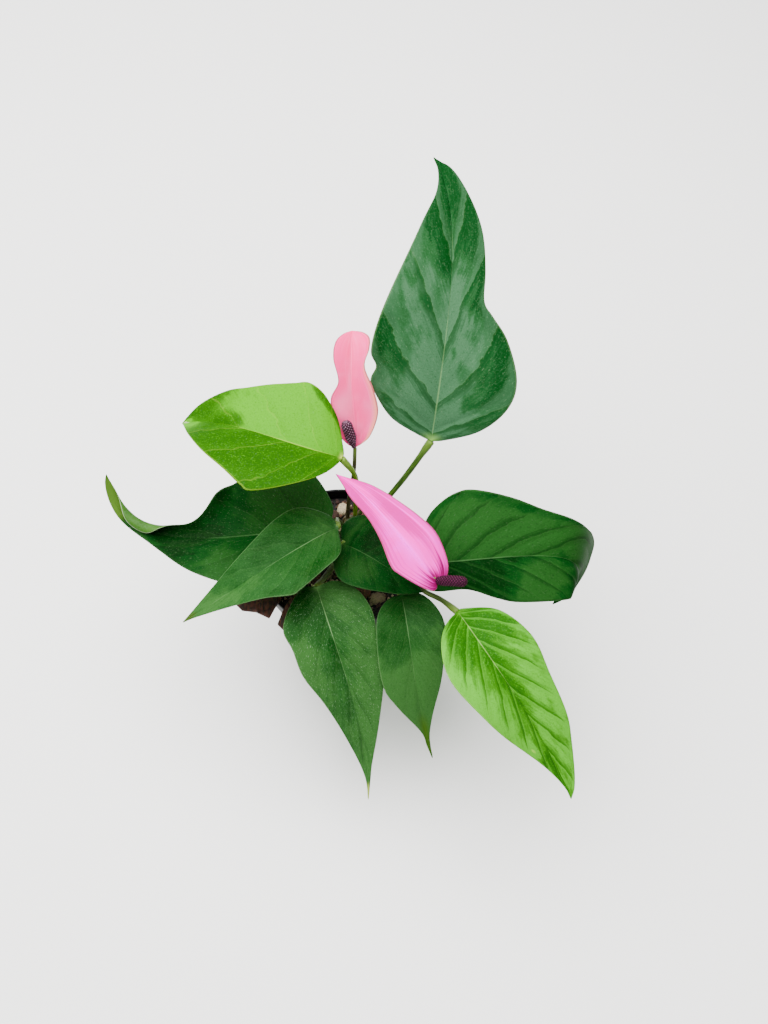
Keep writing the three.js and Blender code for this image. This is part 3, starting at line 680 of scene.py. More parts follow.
def make_piece(name, sheets, materials, nodes):
    """One piece from grids of points in mm, each with its UV, shade and material, merged where they meet.

    The halves of a blade swell differently, so the edges at its foot don't quite meet: a seam 1 to
    2 mm long and under 0.1 mm wide stays open there, at the end of the stalk.
    """
    corners, quads, uvs, indices, values = [], [], [], [], []
    start = 0
    for points, uv, shade, material in sheets:
        rows, columns = points.shape[:2]
        index = start + np.arange(rows * columns).reshape(rows, columns)
        faces = np.stack([index[:-1, :-1], index[:-1, 1:], index[1:, 1:], index[1:, :-1]], axis=-1)
        quads.append(faces.reshape(-1, 4))
        uvs.append(uv.reshape(-1, 2))
        corners.append(points.reshape(-1, 3))
        values.append(shade.reshape(-1))
        indices.append(np.full((rows - 1) * (columns - 1), material))
        start += rows * columns
    corners, quads = np.vstack(corners) * MM, np.vstack(quads)
    mesh = bpy.data.meshes.new(name)
    mesh.vertices.add(len(corners))
    mesh.vertices.foreach_set("co", corners.ravel())
    mesh.loops.add(quads.size)
    mesh.loops.foreach_set("vertex_index", quads.ravel())
    mesh.polygons.add(len(quads))
    mesh.polygons.foreach_set("loop_start", np.arange(0, quads.size, 4))
    mesh.polygons.foreach_set("material_index", np.concatenate(indices))
    layer = mesh.uv_layers.new(name="surface")
    layer.data.foreach_set("uv", np.vstack(uvs)[quads.ravel()].ravel())
    mesh.attributes.new("shade", "FLOAT", "POINT").data.foreach_set("value", np.concatenate(values))
    mesh.update(calc_edges=True)
    close_mesh(mesh)
    return dress(name, mesh, materials, nodes)


def close_mesh(mesh):
    """Merges the points that lie on each other, and turns every face outwards."""
    shell = bmesh.new()
    shell.from_mesh(mesh)
    bmesh.ops.remove_doubles(shell, verts=shell.verts, dist=2e-7)
    bmesh.ops.dissolve_degenerate(shell, edges=shell.edges, dist=1e-8)
    bmesh.ops.recalc_face_normals(shell, faces=shell.faces)
    shell.to_mesh(mesh)
    shell.free()
    mesh.update()


def dress(name, mesh, materials, nodes):
    """Puts the mesh into the scene with its materials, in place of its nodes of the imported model."""
    for material in materials:
        mesh.materials.append(material)
    mesh.polygons.foreach_set("use_smooth", np.ones(len(mesh.polygons), bool))
    piece = bpy.data.objects.new(name, mesh)
    bpy.context.scene.collection.objects.link(piece)
    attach(piece, "root")
    if nodes:
        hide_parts(*nodes)
    return piece


def scatter_chips(name, centres, sizes, turns, chosen, seed, material):
    """Many rough lumps in one mesh: an eighty-sided ball, stretched, dented at random and turned."""
    centres, sizes, turns = centres[chosen], sizes[chosen], turns[chosen]
    ball = bmesh.new()
    bmesh.ops.create_icosphere(ball, subdivisions=2, radius=1)
    corners = np.array([corner.co[:] for corner in ball.verts])
    faces = np.array([[corner.index for corner in face.verts] for face in ball.faces])
    ball.free()
    random = np.random.default_rng(seed)
    dents = 1 + CHIP_ROUGHNESS * random.uniform(-1, 1, (len(centres), len(corners), 1))
    points = corners[None] * dents * sizes[:, None, :]
    tilt, spin = turns[:, 0, None], turns[:, 1, None]
    x, y, z = np.moveaxis(points, -1, 0)
    y, z = y * np.cos(tilt) - z * np.sin(tilt), y * np.sin(tilt) + z * np.cos(tilt)
    x, y = x * np.cos(spin) - y * np.sin(spin), x * np.sin(spin) + y * np.cos(spin)
    points = np.stack([x, y, z], axis=-1) + centres[:, None, :]
    mesh = bpy.data.meshes.new(name)
    all_faces = faces[None] + (np.arange(len(centres)) * len(corners))[:, None, None]
    mesh.from_pydata((points.reshape(-1, 3) * MM).tolist(), [], all_faces.reshape(-1, 3).tolist())
    shade = mesh.attributes.new("shade", "FLOAT", "POINT")
    shade.data.foreach_set("value", np.repeat(random.uniform(0, 1, len(centres)), len(corners)))
    mesh.update()
    return dress(name, mesh, [material], [])


# Materials


def node(material, kind, inputs=None, **settings):
    """Adds a node with its settings, sets or links its inputs, and gives its outputs."""
    added = material.node_tree.nodes.new("ShaderNode" + kind)
    for name, value in settings.items():
        setattr(added, name, value)
    for name, value in (inputs or {}).items():
        if isinstance(value, bpy.types.NodeSocket):
            material.node_tree.links.new(value, added.inputs[name])
        else:
            added.inputs[name].default_value = linear(value) if isinstance(value, str) else value
    return added.outputs


def new_material(name):
    """An empty node material, and the place on the object, in metres, that its patterns follow."""
    material = bpy.data.materials.new(name)
    material.use_nodes = True
    material.node_tree.nodes.clear()
    return material, node(material, "TexCoord")["Object"]


def surface_parts(material):
    """The piece's own UV map, its two parts, and the distance of the first part from its middle."""
    uv = node(material, "UVMap", uv_map="surface")["UV"]
    parts = node(material, "SeparateXYZ", {"Vector": uv})
    centred = node(material, "Math", {0: parts["X"], 1: 2.0, 2: -1.0}, operation="MULTIPLY_ADD")[0]
    return uv, parts["X"], parts["Y"], node(material, "Math", {0: centred}, operation="ABSOLUTE")[0]


def paint(material, base, layers):
    """Lays colours over a base colour.

    A layer is the value it follows, the value where it starts, the one where it is full, how strong
    it then is, and its colour.
    """
    for value, start, full, strength, colour in layers:
        share = node(material, "MapRange", {
            "Value": value, "From Min": start, "From Max": full, "To Max": strength,
        }, interpolation_type="SMOOTHSTEP")[0]
        base = node(material, "Mix", {0: share, 6: base, 7: colour}, data_type="RGBA")[2]
    return base


def finish(material, colour, roughness, height, depth, surface=None):
    """Ends a material: its roughness runs between two values with the height, a relief of depth mm."""
    rough = node(material, "MapRange", {
        "Value": height, "From Min": 0.2, "From Max": 0.8, "To Min": roughness[0], "To Max": roughness[1],
    })[0]
    normal = node(material, "Bump", {"Height": height, "Strength": 0.5, "Distance": depth * MM})["Normal"]
    inputs = {"Base Color": colour, "Roughness": rough, "Normal": normal}
    shader = node(material, "BsdfPrincipled", inputs | (surface or {}))["BSDF"]
    node(material, "OutputMaterial", {"Surface": shader})
    return material


def leaf_material(name, main, green, blade):
    """Waxy upper skin of a leaf: a satin cuticle over green that varies between its veins.

    The piece's shade says where it is deeper or lighter: the deeper green there is painted shade
    and the lighter grey-green painted sheen. Clouds of about 10 mm, streaks 2 mm wide and finer brush
    marks along the side veins vary it at random, and blisters of 5 mm add the painted light and shade
    of a blistered skin. The side veins lie where the vein coordinate times their count is a whole
    number: the skin has painted shade in the hollow towards each one from below and a painted
    highlight right past it. Pale flecks under 1 mm wide, the paler foot, which on some leaves is
    lightened further as painted light, the pale midrib, which thins out towards the tip, and the rim
    lie over that. Where the shade is 3 or more, the skin has the blade's own pale colour, which is a
    painted glare at the lime leaf's tip.
    """
    deep, light, vein_colour = green[:3]
    material, place = new_material(name)
    uv, _, vein, out = surface_parts(material)
    shade = node(material, "Attribute", attribute_name="shade")["Fac"]
    cloud = node(material, "TexNoise", {"Vector": place, "Scale": 1 / (10 * MM), "Detail": 5.0})["Fac"]
    grain = node(material, "TexNoise", {"Vector": place, "Scale": 1 / (0.9 * MM), "Detail": 4.0})["Fac"]
    net = node(material, "TexVoronoi", {"Vector": place, "Scale": 1 / (2.4 * MM)},
               feature="DISTANCE_TO_EDGE")["Distance"]
    marks = []
    for across, along, detail in LEAF_MARKS:
        stretched = node(material, "Mapping", {"Vector": uv, "Scale": (across, along, 1.0)})["Vector"]
        mark = node(material, "TexNoise", {"Vector": stretched, "Scale": 1.0, "Detail": detail})["Fac"]
        marks.append(mark)
    streak, brush, fleck, painted_blister_light = marks

    # tone: where the painted shade and painted sheen lie, varied at random by clouds and streaks
    tone = node(material, "Math", {0: cloud, 1: 1.4, 2: shade}, operation="MULTIPLY_ADD")[0]
    tone = node(material, "Math", {0: streak, 1: 0.9, 2: tone}, operation="MULTIPLY_ADD")[0]
    # The blisters are painted light and shade, with no relief of their own
    raised = node(material, "Math", {0: painted_blister_light, 1: -0.5}, operation="ADD")[0]
    blister_light_amount = 2.0 * blade["quilt_shading"]
    tone = node(material, "Math", {0: raised, 1: blister_light_amount, 2: tone}, operation="MULTIPLY_ADD")[0]
    veins = float(blade["veins"])
    count = node(material, "Math", {0: cloud, 1: 0.35}, operation="MULTIPLY")[0]
    count = node(material, "Math", {0: vein, 1: veins, 2: count}, operation="MULTIPLY_ADD")[0]
    rim = node(material, "Math", {0: out, 1: 6.0}, operation="POWER")[0]
    # Painted shade in the hollow below each side vein and a painted highlight just past it
    hollow_shading = node(material, "Math", {0: count}, operation="FRACT")[0]
    hollow_shading = node(material, "Math", {0: rim, 1: -0.6, 2: hollow_shading}, operation="MULTIPLY_ADD")[0]
    hollow_shading = node(material, "Math", {0: streak, 1: 0.6, 2: hollow_shading}, operation="MULTIPLY_ADD")[0]
    groove = node(material, "Math", {0: count, 1: 0.5}, operation="PINGPONG")[0]
    line = node(material, "Math", {0: streak, 1: 0.08, 2: groove}, operation="MULTIPLY_ADD")[0]
    rib = node(material, "Math", {0: vein, 1: 0.02, 2: out}, operation="MULTIPLY_ADD")[0]
    foot = node(material, "Math", {0: out, 1: 0.25, 2: vein}, operation="MULTIPLY_ADD")[0]
    colour = paint(material, main, [
        # Deep is painted shade and light is painted sheen
        (tone, 1.15, 0.5, 0.95, deep),
        (tone, 1.15, 1.85, 0.95, light),
        (brush, 0.5, 0.75, blade["brushed"], light),
        (brush, 0.48, 0.25, blade["brushed"], deep),
        (grain, 0.5, 0.8, 0.5, light),
        (grain, 0.5, 0.2, 0.5, deep),
        (hollow_shading, 0.95, 1.25, blade["quilt_shading"], deep),
        (hollow_shading, 0.6, 0.3, 0.6 * blade["quilt_shading"], light),
        (net, 0.06, 0.0, 0.15, deep),
        (line, 0.07, 0.04, blade["lined"], vein_colour),
        (fleck, 0.64, 0.74, blade["dust"], "#8fae88"),
        # The foot's own paler green, on some leaves lightened further as painted light
        (foot, 0.2, 0.02, 0.85, blade["foot"]),
        (rib, 0.03, 0.012, blade["ribbed"], vein_colour),
        (out, 0.97, 0.985, 0.25, vein_colour),
        # The pale colour: a painted glare at the lime leaf's tip, the tip's paler colour on most other
        # leaves
        (shade, 2.4, 3.4, 0.95, blade["pale"]),
    ])
    height = node(material, "Math", {0: net, 1: 0.5, 2: grain}, operation="MULTIPLY_ADD")[0]
    return finish(material, colour, (0.34, 0.48), height, 0.12, {"Specular IOR Level": blade["shine"]})


def underside_material(name, green):
    """Matt underside of a leaf: paler and yellower, with a pale net of veins and a pale midrib."""
    vein_colour, below = green[2:]
    material, place = new_material(name)
    _, _, _, out = surface_parts(material)
    cloud = node(material, "TexNoise", {"Vector": place, "Scale": 1 / (9 * MM), "Detail": 4.0})["Fac"]
    net = node(material, "TexVoronoi", {"Vector": place, "Scale": 1 / (2.4 * MM)},
               feature="DISTANCE_TO_EDGE")["Distance"]
    colour = paint(material, below, [
        (cloud, 0.4, 0.8, 0.5, green[0]),
        (net, 0.1, 0.0, 0.3, vein_colour),
        (out, 0.05, 0.01, 0.7, vein_colour),
        (out, 0.96, 0.985, 0.6, "#8fa27c"),
    ])
    return finish(material, colour, (0.5, 0.65), net, 0.1, {"Specular IOR Level": 0.1})


def spathe_material(name, colours, stripe, stained, backed):
    """Satin spathe: coloured skin with deeper streaks about 1 mm apart that run from foot to tip.

    It is deeper or paler where the piece's shade says so. A pale stripe follows the middle, the lower
    part of one margin has a colour of its own, the foot is stained in rays where the two sides meet
    the stalk, and a thin brown line runs along the rim. The back is duller.
    """
    main, streak, pale, margin, stain = colours
    material, place = new_material(name)
    uv, across, along, out = surface_parts(material)
    lengthwise = node(material, "Mapping", {"Vector": uv, "Scale": (22.0, 1.4, 1.0)})["Vector"]
    shade = node(material, "Attribute", attribute_name="shade")["Fac"]
    lines = node(material, "TexNoise", {"Vector": lengthwise, "Scale": 1.0, "Detail": 4.0})["Fac"]
    cloud = node(material, "TexNoise", {"Vector": place, "Scale": 1 / (12 * MM), "Detail": 3.0})["Fac"]
    grain = node(material, "TexNoise", {"Vector": place, "Scale": 1 / (0.6 * MM), "Detail": 4.0})["Fac"]
    lined = node(material, "Math", {0: shade, 1: 0.25, 2: lines}, operation="MULTIPLY_ADD")[0]
    edge = node(material, "Math", {0: along, 1: -0.16, 2: across}, operation="MULTIPLY_ADD")[0]
    foot = node(material, "Math", {0: out, 1: 0.2, 2: along}, operation="MULTIPLY_ADD")[0]
    foot = node(material, "Math", {0: lines, 1: -0.5, 2: foot}, operation="MULTIPLY_ADD")[0]
    colour = paint(material, main, [
        (cloud, 0.45, 0.75, 0.35, pale),
        (shade, 0.0, -1.0, 0.6, pale),
        (lines, 0.45, 0.3, 0.4, pale),
        (out, 0.18, 0.0, stripe, pale),
        (lined, 0.5, 0.8, 0.8, streak),
        (edge, 0.8, 0.93, 0.8, margin),
        (foot, stained, stained - 0.2, 0.95, stain),
        (out, 0.93, 0.97, 0.7, "#7c3444"),
        (grain, 0.0, 1.0, 0.35 if backed else 0.0, "#c9a08c"),
    ])
    return finish(material, colour, (0.4, 0.55), grain, 0.08, {
        "Specular IOR Level": 0.03,
        "Subsurface Weight": 0.15,
        "Subsurface Radius": (1.0, 0.35, 0.5),
        "Subsurface Scale": 1.2 * MM,
    })


def stalk_material(name, bright, deep):
    """Smooth fleshy stalk: satin skin with streaks along it, specks, a brown foot and a yellower knee."""
    material, place = new_material(name)
    uv, _, along, _ = surface_parts(material)
    lengthwise = node(material, "Mapping", {"Vector": uv, "Scale": (14.0, 10.0, 1.0)})["Vector"]
    streaks = node(material, "TexNoise", {"Vector": lengthwise, "Scale": 1.0, "Detail": 4.0})["Fac"]
    specks = node(material, "TexNoise", {"Vector": place, "Scale": 1 / (1.0 * MM), "Detail": 2.0})["Fac"]
    shade = node(material, "Attribute", attribute_name="shade")["Fac"]
    colour = paint(material, bright, [
        (streaks, 0.38, 0.62, 0.9, deep),
        (specks, 0.64, 0.7, 0.4, "#5f6b3a"),
        (along, 0.2, 0.0, 0.5, "#3a2c18"),
        (shade, 0.8, 1.0, 0.6, "#5d7a2c"),
    ])
    return finish(material, colour, (0.38, 0.52), streaks, 0.1, {"Specular IOR Level": 0.12})


def spadix_material(name, colours):
    """Spike of packed florets: dull berry skin, paler on their crests and painted shade between them."""
    dark, crest, pollen = colours
    material, place = new_material(name)
    shade = node(material, "Attribute", attribute_name="shade")["Fac"]
    cloud = node(material, "TexNoise", {"Vector": place, "Scale": 1 / (1.6 * MM), "Detail": 3.0})["Fac"]
    grain = node(material, "TexNoise", {"Vector": place, "Scale": 1 / (0.3 * MM), "Detail": 3.0})["Fac"]
    powdered = node(material, "Math", {0: cloud, 1: 0.8, 2: shade}, operation="MULTIPLY_ADD")[0]
    # The dark base between the florets is painted shade
    colour = paint(material, dark, [
        (shade, 0.35, 0.8, 1.0, crest),
        (powdered, 1.15, 1.4, 0.9, pollen),
    ])
    return finish(material, colour, (0.6, 0.75), grain, 0.06, {"Specular IOR Level": 0.1})


def plastic_material(name, colour, worn):
    """Injection-moulded polypropylene: fine matt grain, a little scuffed and dusty in clouds of 22 mm."""
    material, place = new_material(name)
    grain = node(material, "TexNoise", {"Vector": place, "Scale": 1 / (0.5 * MM), "Detail": 3.0})["Fac"]
    scuff = node(material, "TexNoise", {"Vector": place, "Scale": 1 / (22 * MM), "Detail": 6.0})["Fac"]
    painted = paint(material, colour, [(scuff, 0.5, 0.75, 0.5, worn)])
    return finish(material, painted, (0.38, 0.55), grain, 0.04, {"Specular IOR Level": 0.15})


def crumb_material(name, dark, middle, light, grain_mm):
    """Rough crumbs of bark, pumice or peat: matt and pitted, each chip of its own shade."""
    material, place = new_material(name)
    shade = node(material, "Attribute", attribute_name="shade")["Fac"]
    grain = node(material, "TexNoise", {"Vector": place, "Scale": 1 / (grain_mm * MM), "Detail": 6.0})["Fac"]
    colour = paint(material, dark, [
        (shade, 0.0, 0.6, 1.0, middle),
        (shade, 0.5, 1.0, 0.9, light),
        (grain, 0.6, 0.35, 0.6, dark),
    ])
    return finish(material, colour, (0.85, 0.95), grain, 0.6)


def bark_material(name, dark, light):
    """Pine bark: flaky layers in red browns, with fibres that run along the piece."""
    material, place = new_material(name)
    turned = node(material, "Mapping", {
        "Vector": place,
        "Rotation": (0.0, 0.0, math.radians(25)),
        "Scale": (700.0, 160.0, 500.0),
    })["Vector"]
    fibres = node(material, "TexNoise", {"Vector": turned, "Scale": 1.0, "Detail": 6.0})["Fac"]
    cloud = node(material, "TexNoise", {"Vector": place, "Scale": 1 / (5 * MM), "Detail": 4.0})["Fac"]
    colour = paint(material, dark, [
        (fibres, 0.35, 0.65, 1.0, light),
        (cloud, 0.5, 0.7, 0.6, "#120906"),
    ])
    return finish(material, colour, (0.8, 0.95), fibres, 0.6)


def floor_material(name, colour):
    """Matt painted board: almost even, with a faint cloudiness."""
    material, place = new_material(name)
    cloud = node(material, "TexNoise", {"Vector": place, "Scale": 2.5, "Detail": 2.0})["Fac"]
    painted = paint(material, colour, [(cloud, 0.3, 0.7, 0.15, "#f2f1ef")])
    return finish(material, painted, (0.9, 0.9), cloud, 0.1)


# Settings


def colour_setting(name, description, hex_colour):
    """A colour that a user can change."""
    return bpy.props.FloatVectorProperty(
        name=name, description=description, default=linear(hex_colour)[:3], subtype="COLOR", min=0.0,
        max=1.0)


class AnthuriumLeafSettings(bpy.types.PropertyGroup):
    """Sizes and greens of the leaves."""

    thickness: bpy.props.FloatProperty(
        name="Blade thickness", description="Thickness of a leaf blade", default=0.55 * MM, min=0.1 * MM,
        unit="LENGTH")
    ridge: bpy.props.FloatProperty(
        name="Midrib height", description="How far the midrib stands out under the blade", default=0.9 * MM,
        min=0.0, unit="LENGTH")
    rows: bpy.props.IntProperty(
        name="Rows", description="Rows of points along a blade", default=150, min=20)
    columns: bpy.props.IntProperty(
        name="Columns", description="Columns of points on each half of a blade", default=30, min=6)
    leaf_dark: colour_setting("Dark leaf", "Main green of the top leaf", "#163f1d")
    leaf_deep: colour_setting(
        "Deep leaves", "Main green of the back left, centre and right leaves", "#042c08")
    leaf_mid: colour_setting("Mid leaves", "Main green of the three leaves at the front", "#173f16")
    leaf_bright: colour_setting("Bright leaf", "Main green of the lower right leaf", "#2f690a")
    leaf_lime: colour_setting("Lime leaf", "Main green of the youngest leaf", "#245602")
    petiole: colour_setting("Petioles", "Main green of the petioles", "#3f5220")


class AnthuriumBloomSettings(bpy.types.PropertyGroup):
    """Sizes of the blooms' detail."""

    thickness: bpy.props.FloatProperty(
        name="Spathe thickness", description="Thickness of a spathe", default=0.6 * MM, min=0.1 * MM,
        unit="LENGTH")
    florets_around: bpy.props.IntProperty(
        name="Florets around", description="Pairs of florets round a spadix", default=5, min=3)
    floret_height: bpy.props.FloatProperty(
        name="Floret height", description="How far a floret stands out", default=0.45 * MM, min=0.0,
        unit="LENGTH")


class AnthuriumPotSettings(bpy.types.PropertyGroup):
    """Sizes and colours of the pot and the soil."""

    height: bpy.props.FloatProperty(
        name="Pot height", description="Height of the pot", default=POT_HIGH[2], min=0.05, unit="LENGTH")
    sides: bpy.props.IntProperty(
        name="Pot sides", description="Sides of the turned pot", default=128, min=24)
    grains: bpy.props.IntProperty(
        name="Soil grains", description="Loose grains on the soil", default=900, min=10)
    plastic: colour_setting("Plastic", "Colour of the pot", "#0d0e0f")
    pumice: colour_setting("Pumice", "Colour of the pumice in the soil", "#8f7c60")


class AnthuriumStageSettings(bpy.types.PropertyGroup):
    """Floor and light."""

    floor_size: bpy.props.FloatProperty(
        name="Floor size", description="Length of the floor's sides", default=8.0, min=1.0, unit="LENGTH")
    sky: bpy.props.FloatProperty(
        name="Room light", description="Strength of the even light of the room", default=0.3, min=0.0)
    softbox: bpy.props.FloatProperty(
        name="Softbox power", description="Power of the large light overhead", default=140.0, min=0.0,
        unit="POWER")


SETTINGS = {
    "anthurium_leaves": AnthuriumLeafSettings,
    "anthurium_blooms": AnthuriumBloomSettings,
    "anthurium_pot": AnthuriumPotSettings,
    "anthurium_stage": AnthuriumStageSettings,
}


# Pieces


def wall_radius(height):
    """Radius of the outside of the pot's wall at a height below the collar.

    It widens evenly from the base to 1 mm inside the step under the collar.
    """
    top = POT["height"] - POT["collar"]
    return POT["base"] + (POT["rim"] - POT["step"] - 1 - POT["base"]) * height / top


class ANTHURIUM_OT_pot(bpy.types.Operator):
    """Turns the nursery pot from its profile and drills its drain holes"""

    bl_idname = "anthurium.pot"
    bl_label = "Pot"

    def execute(self, context):
        settings = context.scene.anthurium_pot
        height = settings.height / MM
        base, rim, wall, floor = (POT[part] for part in ("base", "rim", "wall", "floor"))
        top = height - POT["collar"]
        lip = rim - wall
        profile = [
            (0, 0.9), (base - 3.5, 0.9), (base - 3, 0), (base - 0.6, 0), (wall_radius(0.6), 0.6),
            (wall_radius(top * 0.5), top * 0.5), (wall_radius(top - 0.3), top - 0.3),
            (wall_radius(top), top), (rim - 1.3, top + 0.6), (rim - 1, top + 1), (rim - 0.6, height - 2.6),
            (rim, height - 2), (rim, height - 0.6), (rim - 0.15, height - 0.2), (rim - 0.5, height),
            (lip + 0.3, height), (lip + 0.05, height - 0.3), (lip - 1, top + 1.5),
            (wall_radius(top) - wall, top - 1), (wall_radius(floor + 1) - wall, floor + 1),
            (wall_radius(floor) - wall - 1, floor), (0, floor),
        ]
        material = plastic_material("moulded black polypropylene", (*settings.plastic, 1.0), "#1e1e1d")
        pot = make_piece("pot_shell", [turned_sheet(profile, settings.sides)], [material], ["pot"])
        self.drill(pot)
        crease(pot, POT_CREASE)
        return {"FINISHED"}

    def drill(self, pot):
        """Cuts the drain holes: upright cylinders on a circle about the middle of the floor."""
        drill = bpy.data.meshes.new("drill")
        cutter = bmesh.new()
        for hole in range(DRAIN["holes"]):
            angle = 2 * math.pi * hole / DRAIN["holes"]
            made = bmesh.ops.create_cone(
                cutter, cap_ends=True, segments=DRAIN["sides"], radius1=DRAIN["radius"] * MM,
                radius2=DRAIN["radius"] * MM, depth=DRAIN["depth"] * MM)
            shift = (DRAIN["circle"] * MM * math.cos(angle), DRAIN["circle"] * MM * math.sin(angle), 0)
            bmesh.ops.translate(cutter, verts=made["verts"], vec=shift)
        cutter.to_mesh(drill)
        cutter.free()
        tool = bpy.data.objects.new("drill", drill)
        bpy.context.scene.collection.objects.link(tool)
        cut = pot.modifiers.new("drain holes", "BOOLEAN")
        cut.operation = "DIFFERENCE"
        cut.solver = "EXACT"
        cut.object = tool
        bake_modifiers(pot)
        bpy.data.objects.remove(tool)


def bake_modifiers(piece):
    """Replaces the piece's mesh by what its modifiers make of it."""
    shown = piece.evaluated_get(bpy.context.evaluated_depsgraph_get())
    finished = bpy.data.meshes.new_from_object(shown)
    piece.modifiers.clear()
    piece.data = finished


def crease(piece, degrees):
    """Keeps edges sharper than the angle crisp and shades the rest smooth."""
    shell = bmesh.new()
    shell.from_mesh(piece.data)
    for edge in shell.edges:
        edge.smooth = len(edge.link_faces) != 2 or edge.calc_face_angle() < math.radians(degrees)
    for face in shell.faces:
        face.smooth = True
    shell.to_mesh(piece.data)
    shell.free()


class ANTHURIUM_OT_soil(bpy.types.Operator):
    """Fills the pot with potting mix and strews bark and pumice over it"""

    bl_idname = "anthurium.soil"
    bl_label = "Soil"

    def execute(self, context):
        settings = context.scene.anthurium_pot
        self.ground()
        red_bark = crumb_material("pine bark chips", "#1a0e0a", "#3a2014", "#5f3d28", 1.2)
        pumice = crumb_material("washed pumice", "#54483a", (*settings.pumice, 1.0), "#c2b190", 0.8)
        self.chips(red_bark, pumice)
        self.grains(settings.grains, red_bark, pumice)
        return {"FINISHED"}

    def ground(self):
        """The dark mix: height = top + 0.4 - fall (r / edge)^2 + four octaves of unevenness.

        The unevenness fades out at the edge, and a turned underside closes the mix.
        """
        foot = wall_radius(POT["floor"]) - POT["wall"] - SEAT_GAP
        radius = np.linspace(0, SOIL_EDGE, 70)[:, None]
        turn = np.linspace(0, 2 * np.pi, SOIL_SIDES + 1)[None, :]
        x, y = radius * np.cos(turn), radius * np.sin(turn)
        uneven = sum(ripples(x, y, 5 + octave, 1.6 / 2 ** octave, 16 / 2 ** octave) for octave in range(4))
        rim = smooth_step(radius, SOIL_EDGE - 3, SOIL_EDGE)
        height = SOIL_TOP + 0.4 - SOIL_FALL * (radius / SOIL_EDGE) ** 2 + uneven * (1 - rim)
        surface = together(x, y, height)
        uv = together(turn / (2 * np.pi), radius / UV_LENGTH)
        collar = POT["height"] - POT["collar"]
        bottom = POT["floor"] + SEAT_GAP
        below = turned_sheet([
            (SOIL_EDGE, height[-1, 0]), (SOIL_EDGE - 0.2, collar + 2), (SOIL_EDGE - 2, collar - 2.5),
            (foot, bottom), (0, bottom)], SOIL_SIDES)
        material = crumb_material("damp peat mix", "#0c0806", "#1a120c", "#2a1e15", 1.6)
        make_piece("soil_mix", [(surface, uv, np.full(height.shape, 0.1), 0), below], [material],
                   ["soil"])

    def chips(self, bark, pumice):
        """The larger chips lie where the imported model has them, drawn by the same seeded generator."""
        state = CHIP_SEED
        draws = []
        for _ in range(CHIP_COUNT * CHIP_DRAWS):
            state = (state * 1664525 + 1013904223) % 2 ** 32
            draws.append(state / 2 ** 32)
        grow, stretch, tilt, spin, lift = np.array(draws).reshape(CHIP_COUNT, CHIP_DRAWS).T
        number = np.arange(CHIP_COUNT)
        size = 2.6 + 2.6 * grow
        distance = CHIP_SPREAD * np.sqrt((number + 0.5) / CHIP_COUNT)
        angle = number * GOLDEN_TURN
        centres = together(distance * np.cos(angle), distance * np.sin(angle), SOIL_TOP - 0.6 + 1.4 * lift)
        sizes = together(size * (0.6 + 0.65 * stretch), size, size * 0.55)
        turns = together(0.8 * tilt - 0.4, np.pi * spin)
        from_crown = np.hypot(centres[:, 0] - CROWN["x"], centres[:, 1] - CROWN["y"])
        clear = from_crown > CROWN["radius"] + size + 1
        is_bark = number % 5 < 2
        scatter_chips("soil_bark_chips", centres, sizes, turns, clear & is_bark, 3, bark)
        scatter_chips("soil_pumice", centres, sizes, turns, clear & ~is_bark, 4, pumice)

    def grains(self, count, bark, pumice):
        """Smaller grains, spread evenly over the soil and the chips by chance."""
        random = np.random.default_rng(9)
        radius = (SOIL_EDGE - 2) * np.sqrt(random.uniform(0, 1, count))
        angle = random.uniform(0, 2 * np.pi, count)
        size = random.uniform(0.5, 1.9, count)
        height = SOIL_TOP + 0.9 - SOIL_FALL * (radius / SOIL_EDGE) ** 2 + random.uniform(-0.6, 0.8, count)
        centres = together(radius * np.cos(angle), radius * np.sin(angle), height)
        sizes = size[:, None] * random.uniform(0.6, 1.2, (count, 3))
        turns = random.uniform(0, np.pi, (count, 2))
        from_crown = np.hypot(centres[:, 0] - CROWN["x"], centres[:, 1] - CROWN["y"])
        clear = from_crown > CROWN["radius"] + size
        is_pumice = random.uniform(0, 1, count) < 0.3
        scatter_chips("soil_bark_grains", centres, sizes, turns, clear & ~is_pumice, 5, bark)
        scatter_chips("soil_pumice_grains", centres, sizes, turns, clear & is_pumice, 6, pumice)


